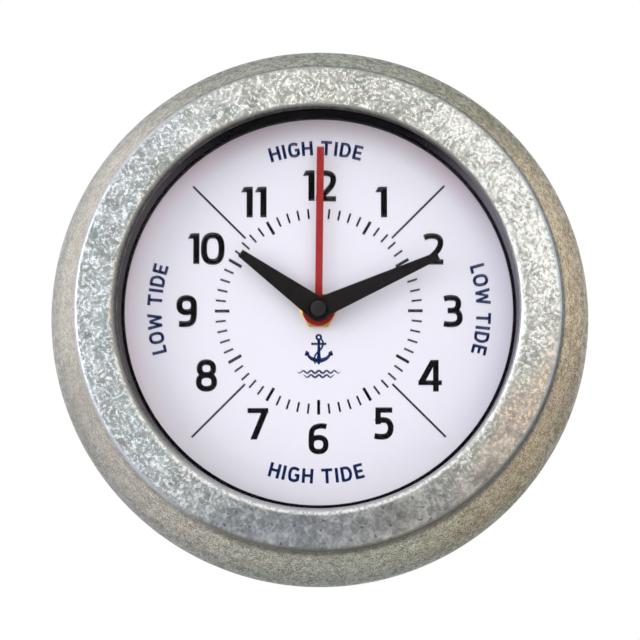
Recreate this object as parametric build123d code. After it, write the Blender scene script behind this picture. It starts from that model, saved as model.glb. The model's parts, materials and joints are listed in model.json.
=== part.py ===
from build123d import *
import os
from math import acos, atan2, cos, degrees, pi, radians, sin, tan

# A tide clock for the wall: a galvanised steel case, a printed dial, two hands for the time and one for
# the tide, and the quartz movement that drives them.
# It is modelled lying on its back: X to the right, Y up to twelve o'clock, Z from the wall to the viewer,
# the wall at Z = 0 and the hands' axis on Z. At the end every piece is stood up: dial to -Y, twelve to +Z.

# Driving dimensions, in millimetres and degrees

# Fits
running_fit = 0.05  # radial, a pivot, tube or arbor turning in its hole
push_fit = 0.02  # radial, a piece pressed or screwed on
place_fit = 0.25  # radial, a piece dropped into its seat

# Steel case
steel = 0.8
bezel_width = 17.2  # radial, mouth of the rolled lip to outside of the skirt
bezel_edge_radius = 1.8
skirt_depth = 4.0
crease_height = 1.0  # neck showing below the skirt
lip_bend_radius = 2.0
lip_depth = 2.4
flange_width = 9.0  # front flange of the shell, under the bezel
flare = 13.0  # radial, skirt to rim
flank_angle = 28.0  # flank against the axis
shoulder_radius = 32.0
neck_bend_radius = 1.6
hem_height = 6.0
hem_round = 0.75  # rounding of the rim's edges, in sheet thicknesses

# Glass and dial
gasket_thickness = 0.6
gasket_width = 3.0
lens_thickness = 1.8
lens_bevel = 0.15  # in lens thicknesses
lens_seat = 3.8  # radial, glass lying on the surround
lens_room = 1.4  # hand cap to glass
dial_opening_radius = 78.0
ledge_width = 1.3
ledge_height = 0.8
surround_draft = 0.9  # radial widening of the surround towards the glass
surround_wall = 2.0
lip_cover = 0.4  # the lip hides this much of the surround's mouth
dial_margin = 8.0  # dial hidden behind the surround
dial_thickness = 0.6
backing_thickness = 2.4

# Rear cover and its fixings
cover_thickness = 3.0
cover_hoop_height = 5.0
cover_hoop_wall = 1.6
pillar_radius = 3.6
pillar_count = 6
pillar_edge_gap = 0.9  # dial edge to pillar
cover_screw_radius = 1.5
cover_screw_head_radius = 2.9
cover_screw_head_height = 1.6
cover_screw_length = 14.0
dial_screw_radius = 1.1
dial_screw_head_radius = 2.2
dial_screw_head_height = 1.3
dial_screw_length = 8.0
dial_screw_count = 4
dial_screw_first = 45.0  # direction of the first, anticlockwise from X
screw_head_round = 0.6  # rounding of a screw's head, in head heights
recess_reach = 0.62  # arm of the cross recess, in head radii
recess_half_width = 0.14  # in head radii
recess_depth = 0.6  # in head heights
window_corner_radius = 2.0
keyhole_web = 5.05  # end of the hanging slot to the sunk screw above it
keyhole_entry_radius = 4.5
keyhole_slot_radius = 2.3
keyhole_travel = 12.0
hollow_depth = 1.0  # hollows between the ribs on the cover's back
hollow_rim = 9.0  # edge of the cover to the hollows
hollow_inner_radius = 46.0  # plain middle of the cover
hollow_ring_radius = 64.0  # rib that runs round between the hollows
rib_width = 2.6
rib_count = 12
boss_margin = 3.0  # plain face left round a screw or the keyhole
mark_depth = 0.5  # polarity signs and setting arrow
mark_width = 1.0
mark_length = 4.6
mark_offset = 5.5  # end of the battery window to the middle of a sign
arrow_radius = 8.6  # about the setting knob
arrow_angle = 55.0  # to either side of straight up

# Hands, clockwise angles from twelve at rest: 11 minutes past ten, and just past high tide
hand_thickness = 0.6
hand_gap = 1.1  # between neighbouring blades
collar_wall = 1.1
collar_height = 0.77
minute_hand_length = 52.4
minute_hand_base = 8.6
minute_hand_tip = 3.1
hour_hand_length = 38.7
hour_hand_base = 9.6
hour_hand_tip = 3.2
hand_hub_radius = 4.85
tide_hand_length = 66.2
tide_hand_width = 2.9
tide_hub_radius = 6.5
cap_radius = 3.35
cap_height = 2.6
cap_edge_height = 0.9
cap_roof = 1.04  # end of the thread to the top of the dome
minute_hand_rest = 66.0
hour_hand_rest = 306.1
tide_hand_rest = 0.7

# Arbors, tubes and bushing on the hands' axis
minute_arbor_radius = 1.2
minute_thread_radius = 0.85
minute_pivot_radius = 0.6
tube_wall = 0.75
bushing_radius = 5.0
bushing_flange = 1.2
bushing_flange_thickness = 0.45
nut_flats = 13.0
nut_height = 2.5
nut_chamfer = 0.7
nut_chamfer_slope = 1.7  # run over height
washer_thickness = 1.0
washer_radius = 9.0

# Toothed wheels
pressure_angle = 25.0
tooth_addendum = 0.8  # in modules
tooth_dedendum = 1.15  # in modules
tooth_thinning = 0.16  # backlash of each wheel, in modules
wheel_thickness = 0.8
wheel_gap = 0.45  # between neighbouring levels
motion_module = 0.3
tide_module = 0.3  # of the first tide pair; the second takes the same centres
train_module = 0.18
small_pivot_radius = 0.5
pivot_length = 0.9  # in the front wall
pivot_end_room = 0.15
setting_arbor_radius = 0.9

# Tooth counts. Minute to hour is 1 to 12, hour to tide 12 to 12.42, seconds to centre 60 to 1.
cannon_teeth = 15
setting_wheel_teeth = 45
setting_pinion_teeth = 12
hour_wheel_teeth = 48
hour_tide_teeth = 25
idler_wheel_teeth = 36
idler_pinion_teeth = 32
tide_wheel_teeth = 23
leaf_teeth = 10  # every pinion of the going train
centre_wheel_teeth = 80
third_wheel_teeth = 75
seconds_wheel_teeth = 60
intermediate_wheel_teeth = 50

# Directions from each arbor to the next, anticlockwise from X seen from the front
setting_direction = 0.0
idler_direction = 180.0
third_direction = 60.0
seconds_direction = 110.0
intermediate_direction = 20.0
rotor_direction = -20.0

# Movement
movement_gap = 2.2  # rear cover to movement
movement_wall = 1.4
movement_front_wall = 1.5
movement_back_wall = 1.6
movement_corner_radius = 3.0
movement_edge_round = 0.6  # in walls
component_room = 2.6
board_thickness = 0.8
board_height = 5.0
chip_size = 3.6
chip_height = 1.1
chip_bevel = 0.25  # in chip heights
crystal_radius = 1.0
crystal_length = 6.0
crystal_round = 0.35  # in crystal radii
train_plate_thickness = 1.0
middle_plate_thickness = 0.9
clutch_room = 0.5
clutch_leaf = 0.15
clutch_radius = 2.6
clutch_seat_step = 0.2  # arbor down to the seat of the spring and the centre wheel
post_radius = 1.8
post_setback = 2.0  # left edge and top of the plates to a post
train_screw_radius = 0.7
train_screw_head_radius = 1.5
train_screw_head_height = 0.9
stator_screw_head_radius = 1.2
knob_radius = 4.6
knob_recess = 0.6  # knob back from the wall plane
knob_clearance = 0.8
knob_gap = 0.4
knob_grips = 16
knob_grip_radius = 0.6
knob_grip_offset = 0.25  # centre of a grip outside the knob
knob_grip_share = 0.7  # of the knob's reach, how far the arbor goes in
battery_radius = 7.25
battery_length = 50.5
battery_nub_radius = 2.75
battery_nub_length = 1.0
battery_recess = 0.4
battery_edge_radius = 0.6
contact_thickness = 0.3
contact_spring = 0.8  # height of the dimple that presses on the cell
contact_width = 4.5
contact_dimple = 0.45  # its radius, in contact widths
trough_wall = 1.0
trough_fit = 0.15
trough_room = 4.1  # hour wheel to trough

# Stepper motor
magnet_radius = 2.0
magnet_height = 1.2
magnet_gap = 0.4
stator_thickness = 0.8
stator_width = 6.4
stator_reach = 12.0  # rotor to each end of the stator
stator_arm_width = 2.5
coil_radius = 3.0
coil_flange_radius = 3.6
coil_flange_thickness = 0.8
coil_barrel_radius = 1.9
coil_clearance = 1.8
core_width = 2.4
core_thickness = 0.8

# How far two bodies of one piece run into each other where they are joined
weld = 0.1

# Levels along the axis, from the wall to the glass

movement_back = cover_thickness + movement_gap
back_wall_inside = movement_back + movement_back_wall
board_back = back_wall_inside + component_room
train_plate_back = board_back + board_thickness
train_plate_front = train_plate_back + train_plate_thickness
magnet_level = train_plate_front + wheel_gap
seconds_level = magnet_level + magnet_height + wheel_gap
third_level = seconds_level + wheel_thickness + wheel_gap
centre_level = third_level + wheel_thickness + wheel_gap
clutch_level = centre_level + wheel_thickness
middle_plate_back = clutch_level + clutch_room
middle_plate_front = middle_plate_back + middle_plate_thickness
cannon_level = middle_plate_front + wheel_gap
hour_level = cannon_level + wheel_thickness + wheel_gap
hour_tide_level = hour_level + wheel_thickness + wheel_gap
tide_level = hour_tide_level + wheel_thickness + wheel_gap
bushing_back = tide_level + wheel_thickness + wheel_gap / 2
front_wall_inside = bushing_back + bushing_flange_thickness
movement_front = front_wall_inside + movement_front_wall
backing_back = movement_front + washer_thickness
dial_back = backing_back + backing_thickness
dial_face = dial_back + dial_thickness
nut_front = dial_face + nut_height
bushing_front = nut_front + running_fit
tide_blade = nut_front + hand_gap
hour_blade = tide_blade + hand_thickness + hand_gap
minute_blade = hour_blade + hand_thickness + hand_gap
cap_back = minute_blade + hand_thickness
cap_front = cap_back + cap_height
lens_back = cap_front + lens_room
lens_front = lens_back + lens_thickness
lip_back = lens_front + gasket_thickness
case_depth = lip_back + lip_depth

# Radii of the case, from the dial outwards

ledge_radius = dial_opening_radius + ledge_width
surround_mouth_radius = ledge_radius + surround_draft
lip_radius = surround_mouth_radius - lip_cover
lens_radius = surround_mouth_radius + lens_seat
lens_rim_radius = lens_radius + place_fit
dial_radius = dial_opening_radius + dial_margin
bezel_radius = lip_radius + bezel_width
neck_radius = bezel_radius - steel - running_fit
case_radius = bezel_radius + flare
cover_radius = case_radius - 2 * steel - place_fit
pillar_circle = dial_radius + pillar_edge_gap + pillar_radius
dial_screw_circle = dial_radius - dial_screw_head_radius - place_fit
screw_sink_radius = cover_screw_head_radius + place_fit
keyhole_seat = pillar_circle - screw_sink_radius - keyhole_web - keyhole_slot_radius
keyhole_height = keyhole_seat - keyhole_travel

# Arbor places

tide_centres = tide_module * (hour_tide_teeth + idler_wheel_teeth) / 2
tide_pinion_module = 2 * tide_centres / (idler_pinion_teeth + tide_wheel_teeth)


def stepped(start, distance, direction):
    """The point at a distance and direction from another."""
    angle = radians(direction)
    return (start[0] + distance * cos(angle), start[1] + distance * sin(angle))


def centres(module, teeth, other_teeth):
    """Distance between the arbors of two wheels in mesh."""
    return module * (teeth + other_teeth) / 2


axis_at = (0.0, 0.0)
setting_at = stepped(axis_at, centres(motion_module, cannon_teeth, setting_wheel_teeth), setting_direction)
idler_at = stepped(axis_at, tide_centres, idler_direction)
third_at = stepped(axis_at, centres(train_module, centre_wheel_teeth, leaf_teeth), third_direction)
seconds_at = stepped(third_at, centres(train_module, third_wheel_teeth, leaf_teeth), seconds_direction)
intermediate_at = stepped(
    seconds_at, centres(train_module, seconds_wheel_teeth, leaf_teeth), intermediate_direction
)
rotor_at = stepped(
    intermediate_at, centres(train_module, intermediate_wheel_teeth, leaf_teeth), rotor_direction
)

# Plan of the movement

hour_tube_bore = minute_arbor_radius + running_fit
hour_tube_radius = hour_tube_bore + tube_wall
tide_tube_bore = hour_tube_radius + running_fit
tide_tube_radius = tide_tube_bore + tube_wall
bushing_bore = tide_tube_radius + running_fit
clutch_seat_radius = minute_arbor_radius - clutch_seat_step
knob_grip_back = movement_back - (movement_back - knob_recess) * knob_grip_share
pivot_end = front_wall_inside + pivot_length
thread_end = cap_front - cap_roof
hour_wheel_tip = motion_module * (hour_wheel_teeth / 2 + tooth_addendum)
trough_top = -(hour_wheel_tip + trough_room)
battery_y = trough_top - trough_wall - trough_fit - battery_radius
battery_z = movement_back + battery_recess + battery_radius
trough_half_length = battery_length / 2 + contact_spring + contact_thickness
trough_half_height = battery_radius + trough_fit
trough_front = battery_z + battery_radius + trough_fit
contact_back = min(battery_z - contact_width / 2, board_back + board_thickness / 2)
contact_front = battery_z + contact_width / 2
coil_x = rotor_at[0] + stator_width / 2 + coil_clearance + coil_flange_radius
stator_top = rotor_at[1] + stator_reach
stator_bottom = rotor_at[1] - stator_reach
inside_half_width = max(trough_half_length + trough_wall, coil_x + coil_flange_radius) + trough_fit
inside_top = stator_top + trough_fit
inside_bottom = battery_y - trough_half_height - trough_wall - trough_fit
plate_right = coil_x - coil_flange_radius - place_fit
plate_left = -(trough_half_length - contact_thickness - place_fit)
plate_bottom = trough_top + place_fit
plate_top = inside_top - place_fit
stator_level = magnet_level + (magnet_height - stator_thickness) / 2
core_level = stator_level + stator_thickness
coil_z = core_level + core_thickness / 2
coil_bottom = stator_bottom + stator_arm_width + place_fit
coil_top = stator_top - stator_arm_width - place_fit
post_inset = post_radius + post_setback
posts_at = [
    (plate_left + post_inset, plate_top - post_inset),
    (plate_left + post_inset, plate_bottom + post_radius),
    (plate_right - post_radius, plate_bottom + post_radius),
    (axis_at[0], plate_top - post_radius),
]
board_top = plate_bottom + board_height
board_middle = plate_bottom + board_height / 2
going_pivots = [third_at, seconds_at, intermediate_at, rotor_at]
base_align = (Align.CENTER, Align.CENTER, Align.MIN)


# Shapes used by many pieces


def disc(radius, back, front, at=axis_at):
    """Round bar along Z."""
    return Pos(at[0], at[1], back) * Cylinder(radius, front - back, align=base_align)


def tube(radius, bore, back, front, at=axis_at):
    """Round tube along Z."""
    return disc(radius, back, front, at) - disc(bore, back, front, at)


def block(left, right, bottom, top, back, front):
    """Rectangular block between six planes."""
    centre = Pos((left + right) / 2, (bottom + top) / 2, (back + front) / 2)
    return centre * Box(right - left, top - bottom, front - back)


def turned(section):
    """Solid of revolution about the hands' axis from a face drawn as (radius, height)."""
    return revolve(Plane.XZ * section, Axis.Z)


def outline(*points):
    """Face inside straight lines."""
    return make_face(Polyline(*points, close=True))


def bent_sheet(points, radii):
    """Section of steel sheet whose outside follows a line with rounded bends."""
    line = FilletPolyline(*points, radius=radii)
    return make_face(offset(line, amount=steel, side=Side.LEFT))


def around(count, radius, first=90.0):
    """Evenly spaced places on a circle about the hands' axis."""
    return [stepped(axis_at, radius, first + 360.0 * index / count) for index in range(count)]


def pan_screw(head_radius, head_height, shank_radius, length, head_back, at):
    """Cross-recessed screw driven towards the viewer, its head's back face at a level."""
    seat = head_back + head_height
    head = disc(head_radius, head_back, seat, at)
    head = fillet(head.edges().group_by(Axis.Z)[0], head_height * screw_head_round)
    shank = disc(shank_radius, seat - weld, seat + length, at)
    half_slot = head_radius * recess_half_width
    arm = head_radius * recess_reach
    floor = head_back + head_height * recess_depth
    wide = block(at[0] - arm, at[0] + arm, at[1] - half_slot, at[1] + half_slot, head_back, floor)
    tall = block(at[0] - half_slot, at[0] + half_slot, at[1] - arm, at[1] + arm, head_back, floor)
    return head + shank - wide - tall


def involute(angle):
    return tan(angle) - angle


def toothed_disc(teeth, module, tooth_angle, back, at=axis_at, thickness=wheel_thickness):
    """Spur wheel with one tooth centred on an angle. Flanks are chords of an involute."""
    pitch = teeth * module / 2
    base = pitch * cos(radians(pressure_angle))
    root = pitch - tooth_dedendum * module
    tip = pitch + tooth_addendum * module
    half_at_pitch = (pi / 2 - tooth_thinning) * module / (2 * pitch)

    def half_width(radius):
        roll = acos(min(1.0, base / radius))
        return half_at_pitch + involute(radians(pressure_angle)) - involute(roll)

    radii = sorted({root, max(root, base), pitch, tip})
    points = []
    for tooth in range(teeth):
        middle = radians(tooth_angle) + 2 * pi * tooth / teeth
        rising = [(radius, middle - half_width(radius)) for radius in radii]
        falling = [(radius, middle + half_width(radius)) for radius in reversed(radii)]
        points += [(radius * cos(angle), radius * sin(angle)) for radius, angle in rising + falling]
    return Pos(at[0], at[1], back) * extrude(outline(*points), thickness)


def meshing(driver_at, driven_at, driven_teeth):
    """Tooth angles of two wheels in mesh: a tooth of the first lies in a gap of the second."""
    line = degrees(atan2(driven_at[1] - driver_at[1], driven_at[0] - driver_at[0]))
    return line, line + 180.0 + 180.0 / driven_teeth


# Case


def make_case_shell():
    neck_level = case_depth - skirt_depth - crease_height
    shoulder_level = neck_level - (case_radius - neck_radius) / tan(radians(flank_angle))
    front = case_depth - steel
    section = bent_sheet(
        [
            (case_radius, 0),
            (case_radius, shoulder_level),
            (neck_radius, neck_level),
            (neck_radius, front),
            (neck_radius - flange_width, front),
        ],
        (shoulder_radius, neck_bend_radius, neck_bend_radius),
    )
    hem = outline(
        (case_radius - 2 * steel, 0),
        (case_radius - steel + weld, 0),
        (case_radius - steel + weld, hem_height),
        (case_radius - 2 * steel, hem_height),
    )
    shell = turned(section + hem)
    rim = shell.faces().sort_by(Axis.Z)[0]
    return fillet(rim.edges(), steel * hem_round)


def make_bezel_ring():
    section = bent_sheet(
        [
            (bezel_radius, case_depth - skirt_depth),
            (bezel_radius, case_depth),
            (lip_radius, case_depth),
            (lip_radius, lip_back),
        ],
        (bezel_edge_radius, lip_bend_radius),
    )
    return turned(section)


def make_lens_gasket():
    bore = lip_radius + steel / 2
    return tube(bore + gasket_width, bore, lens_front, lip_back)


def make_lens():
    lens = disc(lens_radius, lens_back, lens_front)
    return chamfer(lens.edges(), lens_thickness * lens_bevel)


def make_dial_surround():
    flange_front = case_depth - 2 * steel
    flange_back = flange_front - surround_wall
    flange_radius = neck_radius - neck_bend_radius - place_fit
    wall_foot = dial_face + ledge_height + surround_wall
    seat_back = lens_back - surround_wall
    ring = turned(
        outline(
            (surround_mouth_radius, lens_back),
            (ledge_radius, dial_face + ledge_height),
            (dial_opening_radius, dial_face + ledge_height),
            (dial_opening_radius, dial_face),
            (ledge_radius + surround_wall, dial_face),
            (ledge_radius + surround_wall, wall_foot),
            (surround_mouth_radius + surround_wall, seat_back),
            (lens_rim_radius + surround_wall, seat_back),
            (lens_rim_radius + surround_wall, flange_back),
            (flange_radius, flange_back),
            (flange_radius, flange_front),
            (lens_rim_radius, flange_front),
            (lens_rim_radius, lens_back),
        )
    )
    for place in around(pillar_count, pillar_circle):
        ring += disc(pillar_radius, cover_thickness, flange_back + weld, place)
        hole_depth = cover_screw_length + place_fit
        ring -= disc(cover_screw_radius + push_fit, cover_thickness, cover_thickness + hole_depth, place)
    boss_radius = dial_screw_radius + surround_wall
    for place in around(dial_screw_count, dial_screw_circle, dial_screw_first):
        boss = disc(boss_radius, dial_face, seat_back + weld, place)
        ring += boss - disc(ledge_radius + surround_wall / 2, dial_face, seat_back + weld)
        ring -= disc(dial_screw_radius + push_fit, dial_face, dial_face + dial_screw_length, place)
    return ring


def dial_sheet(back, front):
    """Round sheet with the bushing's hole and the screw holes."""
    sheet = disc(dial_radius, back, front) - disc(bushing_radius + running_fit, back, front)
    for place in around(dial_screw_count, dial_screw_circle, dial_screw_first):
        sheet -= disc(dial_screw_radius + place_fit, back, front, place)
    return sheet


def make_dial_plate():
    return dial_sheet(dial_back, dial_face)


def make_dial_backing():
    return dial_sheet(backing_back, dial_back)


def make_dial_screws():
    stack = backing_thickness + dial_thickness
    head_back = backing_back - dial_screw_head_height
    length = stack + dial_screw_length - 2 * place_fit
    return [
        pan_screw(dial_screw_head_radius, dial_screw_head_height, dial_screw_radius, length, head_back, place)
        for place in around(dial_screw_count, dial_screw_circle, dial_screw_first)
    ]


def cover_hollows():
    """Shallow hollows in two rings, with ribs, screw bosses and the keyhole's frame left standing."""
    outer_radius = cover_radius - hollow_rim
    hollows = tube(hollow_ring_radius - rib_width / 2, hollow_inner_radius, 0, hollow_depth)
    hollows += tube(outer_radius, hollow_ring_radius + rib_width / 2, 0, hollow_depth)
    for index in range(rib_count):
        rib = block(0, cover_radius, -rib_width / 2, rib_width / 2, 0, hollow_depth)
        hollows -= Rot(0, 0, 360.0 * index / rib_count) * rib
    for place in around(pillar_count, pillar_circle):
        hollows -= disc(screw_sink_radius + boss_margin, 0, hollow_depth, place)
    half_frame = keyhole_entry_radius + boss_margin
    hollows -= block(-half_frame, half_frame, keyhole_height - half_frame, pillar_circle, 0, hollow_depth)
    return hollows


def groove(x, y, across, up):
    """Shallow straight groove in the cover's back, centred on a point."""
    return block(x - across / 2, x + across / 2, y - up / 2, y + up / 2, 0, mark_depth)


def cover_marks():
    """Grooves: a plus and a minus beside the battery, and an arrow that bends round the setting knob."""
    sign_x = trough_half_length + mark_offset
    marks = groove(sign_x, battery_y, mark_length, mark_width)
    marks += groove(sign_x, battery_y, mark_width, mark_length)
    marks += groove(-sign_x, battery_y, mark_length, mark_width)
    at_knob = Pos(*setting_at, 0)
    bow = tube(arrow_radius + mark_width / 2, arrow_radius - mark_width / 2, 0, mark_depth)
    reach = 2 * arrow_radius
    span = reach * tan(radians(arrow_angle))
    bow &= extrude(outline((0, 0), (span, reach), (-span, reach)), mark_depth)
    tip = extrude(outline((-mark_length, 0), (0, -mark_length / 2), (0, mark_length / 2)), mark_depth)
    head = Rot(0, 0, arrow_angle) * Pos(0, arrow_radius, 0) * tip
    return marks + at_knob * (bow + head)


def make_rear_cover():
    cover = disc(cover_radius, 0, cover_thickness) - cover_hollows() - cover_marks()
    hoop_radius = cover_radius - cover_hoop_wall
    cover += tube(hoop_radius, hoop_radius - cover_hoop_wall, 0, cover_thickness + cover_hoop_height)
    entry = (0.0, keyhole_height)
    seat = (0.0, keyhole_seat)
    cover -= disc(keyhole_entry_radius, 0, cover_thickness, entry)
    cover -= disc(keyhole_slot_radius, 0, cover_thickness, seat)
    cover -= block(-keyhole_slot_radius, keyhole_slot_radius, entry[1], seat[1], 0, cover_thickness)
    window = block(
        -trough_half_length,
        trough_half_length,
        battery_y - trough_half_height,
        battery_y + trough_half_height,
        0,
        cover_thickness,
    )
    cover -= fillet(window.edges().filter_by(Axis.Z), window_corner_radius)
    cover -= disc(knob_radius + knob_clearance, 0, cover_thickness, setting_at)
    sink = cover_screw_head_height + push_fit
    for place in around(pillar_count, pillar_circle):
        cover -= disc(screw_sink_radius, 0, sink, place)
        cover -= disc(cover_screw_radius + place_fit, 0, cover_thickness, place)
    return cover


def make_cover_screws():
    return [
        pan_screw(
            cover_screw_head_radius,
            cover_screw_head_height,
            cover_screw_radius,
            cover_screw_length,
            push_fit,
            place,
        )
        for place in around(pillar_count, pillar_circle)
    ]


# Movement case and what is fixed in it


def make_movement_washer():
    return tube(washer_radius, bushing_radius + running_fit, movement_front, backing_back)


def make_movement_nut():
    prism = Pos(0, 0, dial_face) * extrude(RegularPolygon(nut_flats / 2, 6, major_radius=False), nut_height)
    corner = nut_flats / 2 / cos(radians(30))
    ease = turned(
        outline(
            (0, dial_face),
            (corner, dial_face),
            (corner, nut_front - nut_chamfer),
            (corner - nut_chamfer_slope * nut_chamfer, nut_front),
            (0, nut_front),
        )
    )
    return (prism & ease) - disc(bushing_radius + push_fit, dial_face, nut_front)


def make_movement_bushing():
    bushing = tube(bushing_radius, bushing_bore, bushing_back, bushing_front)
    return bushing + tube(bushing_radius + bushing_flange, bushing_bore, bushing_back, front_wall_inside)


def make_movement_front_case():
    half_width = inside_half_width + movement_wall
    case = block(
        -half_width,
        half_width,
        inside_bottom - movement_wall,
        inside_top + movement_wall,
        back_wall_inside,
        movement_front,
    )
    case = fillet(case.edges().filter_by(Axis.Z), movement_corner_radius)
    case = fillet(case.faces().sort_by(Axis.Z)[-1].edges(), movement_wall * movement_edge_round)
    case -= block(
        -inside_half_width,
        inside_half_width,
        inside_bottom,
        inside_top,
        back_wall_inside,
        front_wall_inside,
    )
    for place in posts_at:
        case += disc(post_radius, middle_plate_front, front_wall_inside + weld, place)
        case -= disc(train_screw_radius + push_fit, middle_plate_front, front_wall_inside, place)
    case -= disc(bushing_radius + push_fit, front_wall_inside, movement_front)
    for place in (setting_at, idler_at):
        hole_end = pivot_end + pivot_end_room
        case -= disc(small_pivot_radius + running_fit, front_wall_inside, hole_end, place)
    return case


def make_movement_back_cover():
    half_width = inside_half_width + movement_wall
    cover = block(
        -half_width,
        half_width,
        inside_bottom - movement_wall,
        inside_top + movement_wall,
        movement_back,
        back_wall_inside,
    )
    cover = fillet(cover.edges().filter_by(Axis.Z), movement_corner_radius)
    cover = fillet(cover.faces().sort_by(Axis.Z)[0].edges(), movement_wall * movement_edge_round)
    cover += block(
        -trough_half_length - trough_wall,
        trough_half_length + trough_wall,
        battery_y - trough_half_height - trough_wall,
        battery_y + trough_half_height + trough_wall,
        back_wall_inside - weld,
        trough_front + trough_wall,
    )
    cover -= block(
        -trough_half_length,
        trough_half_length,
        battery_y - trough_half_height,
        battery_y + trough_half_height,
        movement_back,
        trough_front,
    )
    slot_back = contact_back - place_fit
    slot_front = contact_front + place_fit
    for side in (-1, 1):
        near = side * (trough_half_length - contact_thickness - push_fit)
        far = side * trough_half_length
        cover -= block(
            min(near, far),
            max(near, far),
            battery_y,
            trough_top + weld,
            slot_back,
            slot_front,
        )
    cover -= disc(setting_arbor_radius + running_fit, movement_back, back_wall_inside, setting_at)
    return cover


def plate(back, front):
    """Flat plate that carries pivots, up to the coil on one side."""
    return block(plate_left, plate_right, plate_bottom, plate_top, back, front)


def make_middle_plate():
    middle = plate(middle_plate_back, middle_plate_front)
    for place in going_pivots + [idler_at]:
        middle -= disc(small_pivot_radius + running_fit, middle_plate_back, middle_plate_front, place)
    for place in posts_at:
        middle -= disc(train_screw_radius + push_fit, middle_plate_back, middle_plate_front, place)
    middle -= disc(minute_arbor_radius + running_fit, middle_plate_back, middle_plate_front)
    middle -= disc(setting_arbor_radius + running_fit, middle_plate_back, middle_plate_front, setting_at)
    return middle


def make_train_plate():
    train = plate(train_plate_back, train_plate_front)
    for place in posts_at:
        train += disc(post_radius, train_plate_front - weld, middle_plate_back, place)
        train -= disc(train_screw_radius + push_fit, train_plate_back, middle_plate_back, place)
    for place in stator_screw_places():
        train += disc(stator_arm_width / 2, train_plate_front - weld, stator_level, place)
        train -= disc(train_screw_radius + push_fit, train_plate_back, stator_level, place)
    for place in going_pivots:
        train -= disc(small_pivot_radius + running_fit, train_plate_back, train_plate_front, place)
    train -= disc(minute_pivot_radius + running_fit, train_plate_back, train_plate_front)
    train -= disc(setting_arbor_radius + running_fit, train_plate_back, train_plate_front, setting_at)
    return train


def make_train_screws():
    head_back = train_plate_back - train_screw_head_height
    length = front_wall_inside - train_plate_back - place_fit
    return [
        pan_screw(
            train_screw_head_radius,
            train_screw_head_height,
            train_screw_radius,
            length,
            head_back,
            place,
        )
        for place in posts_at
    ]


def make_circuit_board():
    half_width = trough_half_length - contact_thickness - running_fit
    board = block(-half_width, half_width, plate_bottom, board_top, board_back, train_plate_back)
    tongue_left = plate_right + place_fit
    tongue_top = coil_bottom - place_fit
    board += block(tongue_left, half_width, plate_bottom, tongue_top, board_back, train_plate_back)
    for place in posts_at:
        board -= disc(train_screw_head_radius + place_fit, board_back, train_plate_back, place)
    return board


def make_quartz_crystal():
    lying = Rot(0, 90, 0) * Cylinder(crystal_radius, crystal_length)
    lying = fillet(lying.edges(), crystal_radius * crystal_round)
    return Pos(-trough_half_length / 2, board_middle, board_back - crystal_radius) * lying


def make_control_chip():
    half = chip_size / 2
    chip = block(-half, half, board_middle - half, board_middle + half, board_back - chip_height, board_back)
    return chamfer(chip.faces().sort_by(Axis.Z)[0].edges(), chip_height * chip_bevel)


# Stepper motor


def stator_screw_places():
    """Screws that hold the stator to posts of the train plate."""
    inset = stator_arm_width / 2
    return [(rotor_at[0], stator_bottom + inset), (rotor_at[0], stator_top - inset)]


def make_stator():
    left = rotor_at[0] - stator_width / 2
    right = rotor_at[0] + stator_width / 2
    arm_end = coil_x + core_width
    back = stator_level
    front = stator_level + stator_thickness
    stator = block(left, right, stator_bottom, stator_top, back, front)
    stator += block(left, arm_end, stator_bottom, stator_bottom + stator_arm_width, back, front)
    stator += block(left, arm_end, stator_top - stator_arm_width, stator_top, back, front)
    stator -= disc(magnet_radius + magnet_gap, back, front, rotor_at)
    for place in stator_screw_places():
        stator -= disc(train_screw_radius + push_fit, back, front, place)
    return stator


def make_stator_screws():
    screws = []
    for place in stator_screw_places():
        seat = core_level
        head = disc(stator_screw_head_radius, seat, seat + train_screw_head_height, place)
        shank = disc(train_screw_radius, train_plate_back + place_fit, seat + weld, place)
        screws.append(head + shank)
    return screws


def make_coil_core():
    half = core_width / 2
    return block(
        coil_x - half,
        coil_x + half,
        stator_bottom,
        stator_top,
        core_level,
        core_level + core_thickness,
    )


def along_coil(radius, bottom, top):
    """Round bar along the coil."""
    bar = Rot(90, 0, 0) * Cylinder(radius, top - bottom)
    return Pos(coil_x, (bottom + top) / 2, coil_z) * bar


def make_coil_bobbin():
    bobbin = along_coil(coil_barrel_radius, coil_bottom, coil_top)
    bobbin += along_coil(coil_flange_radius, coil_bottom, coil_bottom + coil_flange_thickness)
    bobbin += along_coil(coil_flange_radius, coil_top - coil_flange_thickness, coil_top)
    half = core_width / 2 + push_fit
    bobbin -= block(
        coil_x - half,
        coil_x + half,
        coil_bottom,
        coil_top,
        core_level - push_fit,
        core_level + core_thickness + push_fit,
    )
    return bobbin


def make_coil_winding():
    bottom = coil_bottom + coil_flange_thickness
    top = coil_top - coil_flange_thickness
    return along_coil(coil_radius, bottom, top) - along_coil(coil_barrel_radius, bottom, top)


def make_rotor_magnet():
    return tube(magnet_radius, small_pivot_radius, magnet_level, magnet_level + magnet_height, rotor_at)


def small_arbor(at):
    """Arbor with its pivots in the train plate and the middle plate."""
    return disc(small_pivot_radius, train_plate_back + running_fit, middle_plate_front - running_fit, at)


def make_rotor_pinion():
    angle = meshing(intermediate_at, rotor_at, leaf_teeth)[1]
    return small_arbor(rotor_at) + toothed_disc(leaf_teeth, train_module, angle, centre_level, rotor_at)


# Going train


def make_intermediate_wheel():
    wheel_angle = meshing(intermediate_at, rotor_at, leaf_teeth)[0]
    pinion_angle = meshing(seconds_at, intermediate_at, leaf_teeth)[1]
    at = intermediate_at
    wheel = toothed_disc(intermediate_wheel_teeth, train_module, wheel_angle, centre_level, at)
    pinion = toothed_disc(leaf_teeth, train_module, pinion_angle, seconds_level, at)
    return small_arbor(at) + wheel + pinion


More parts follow.
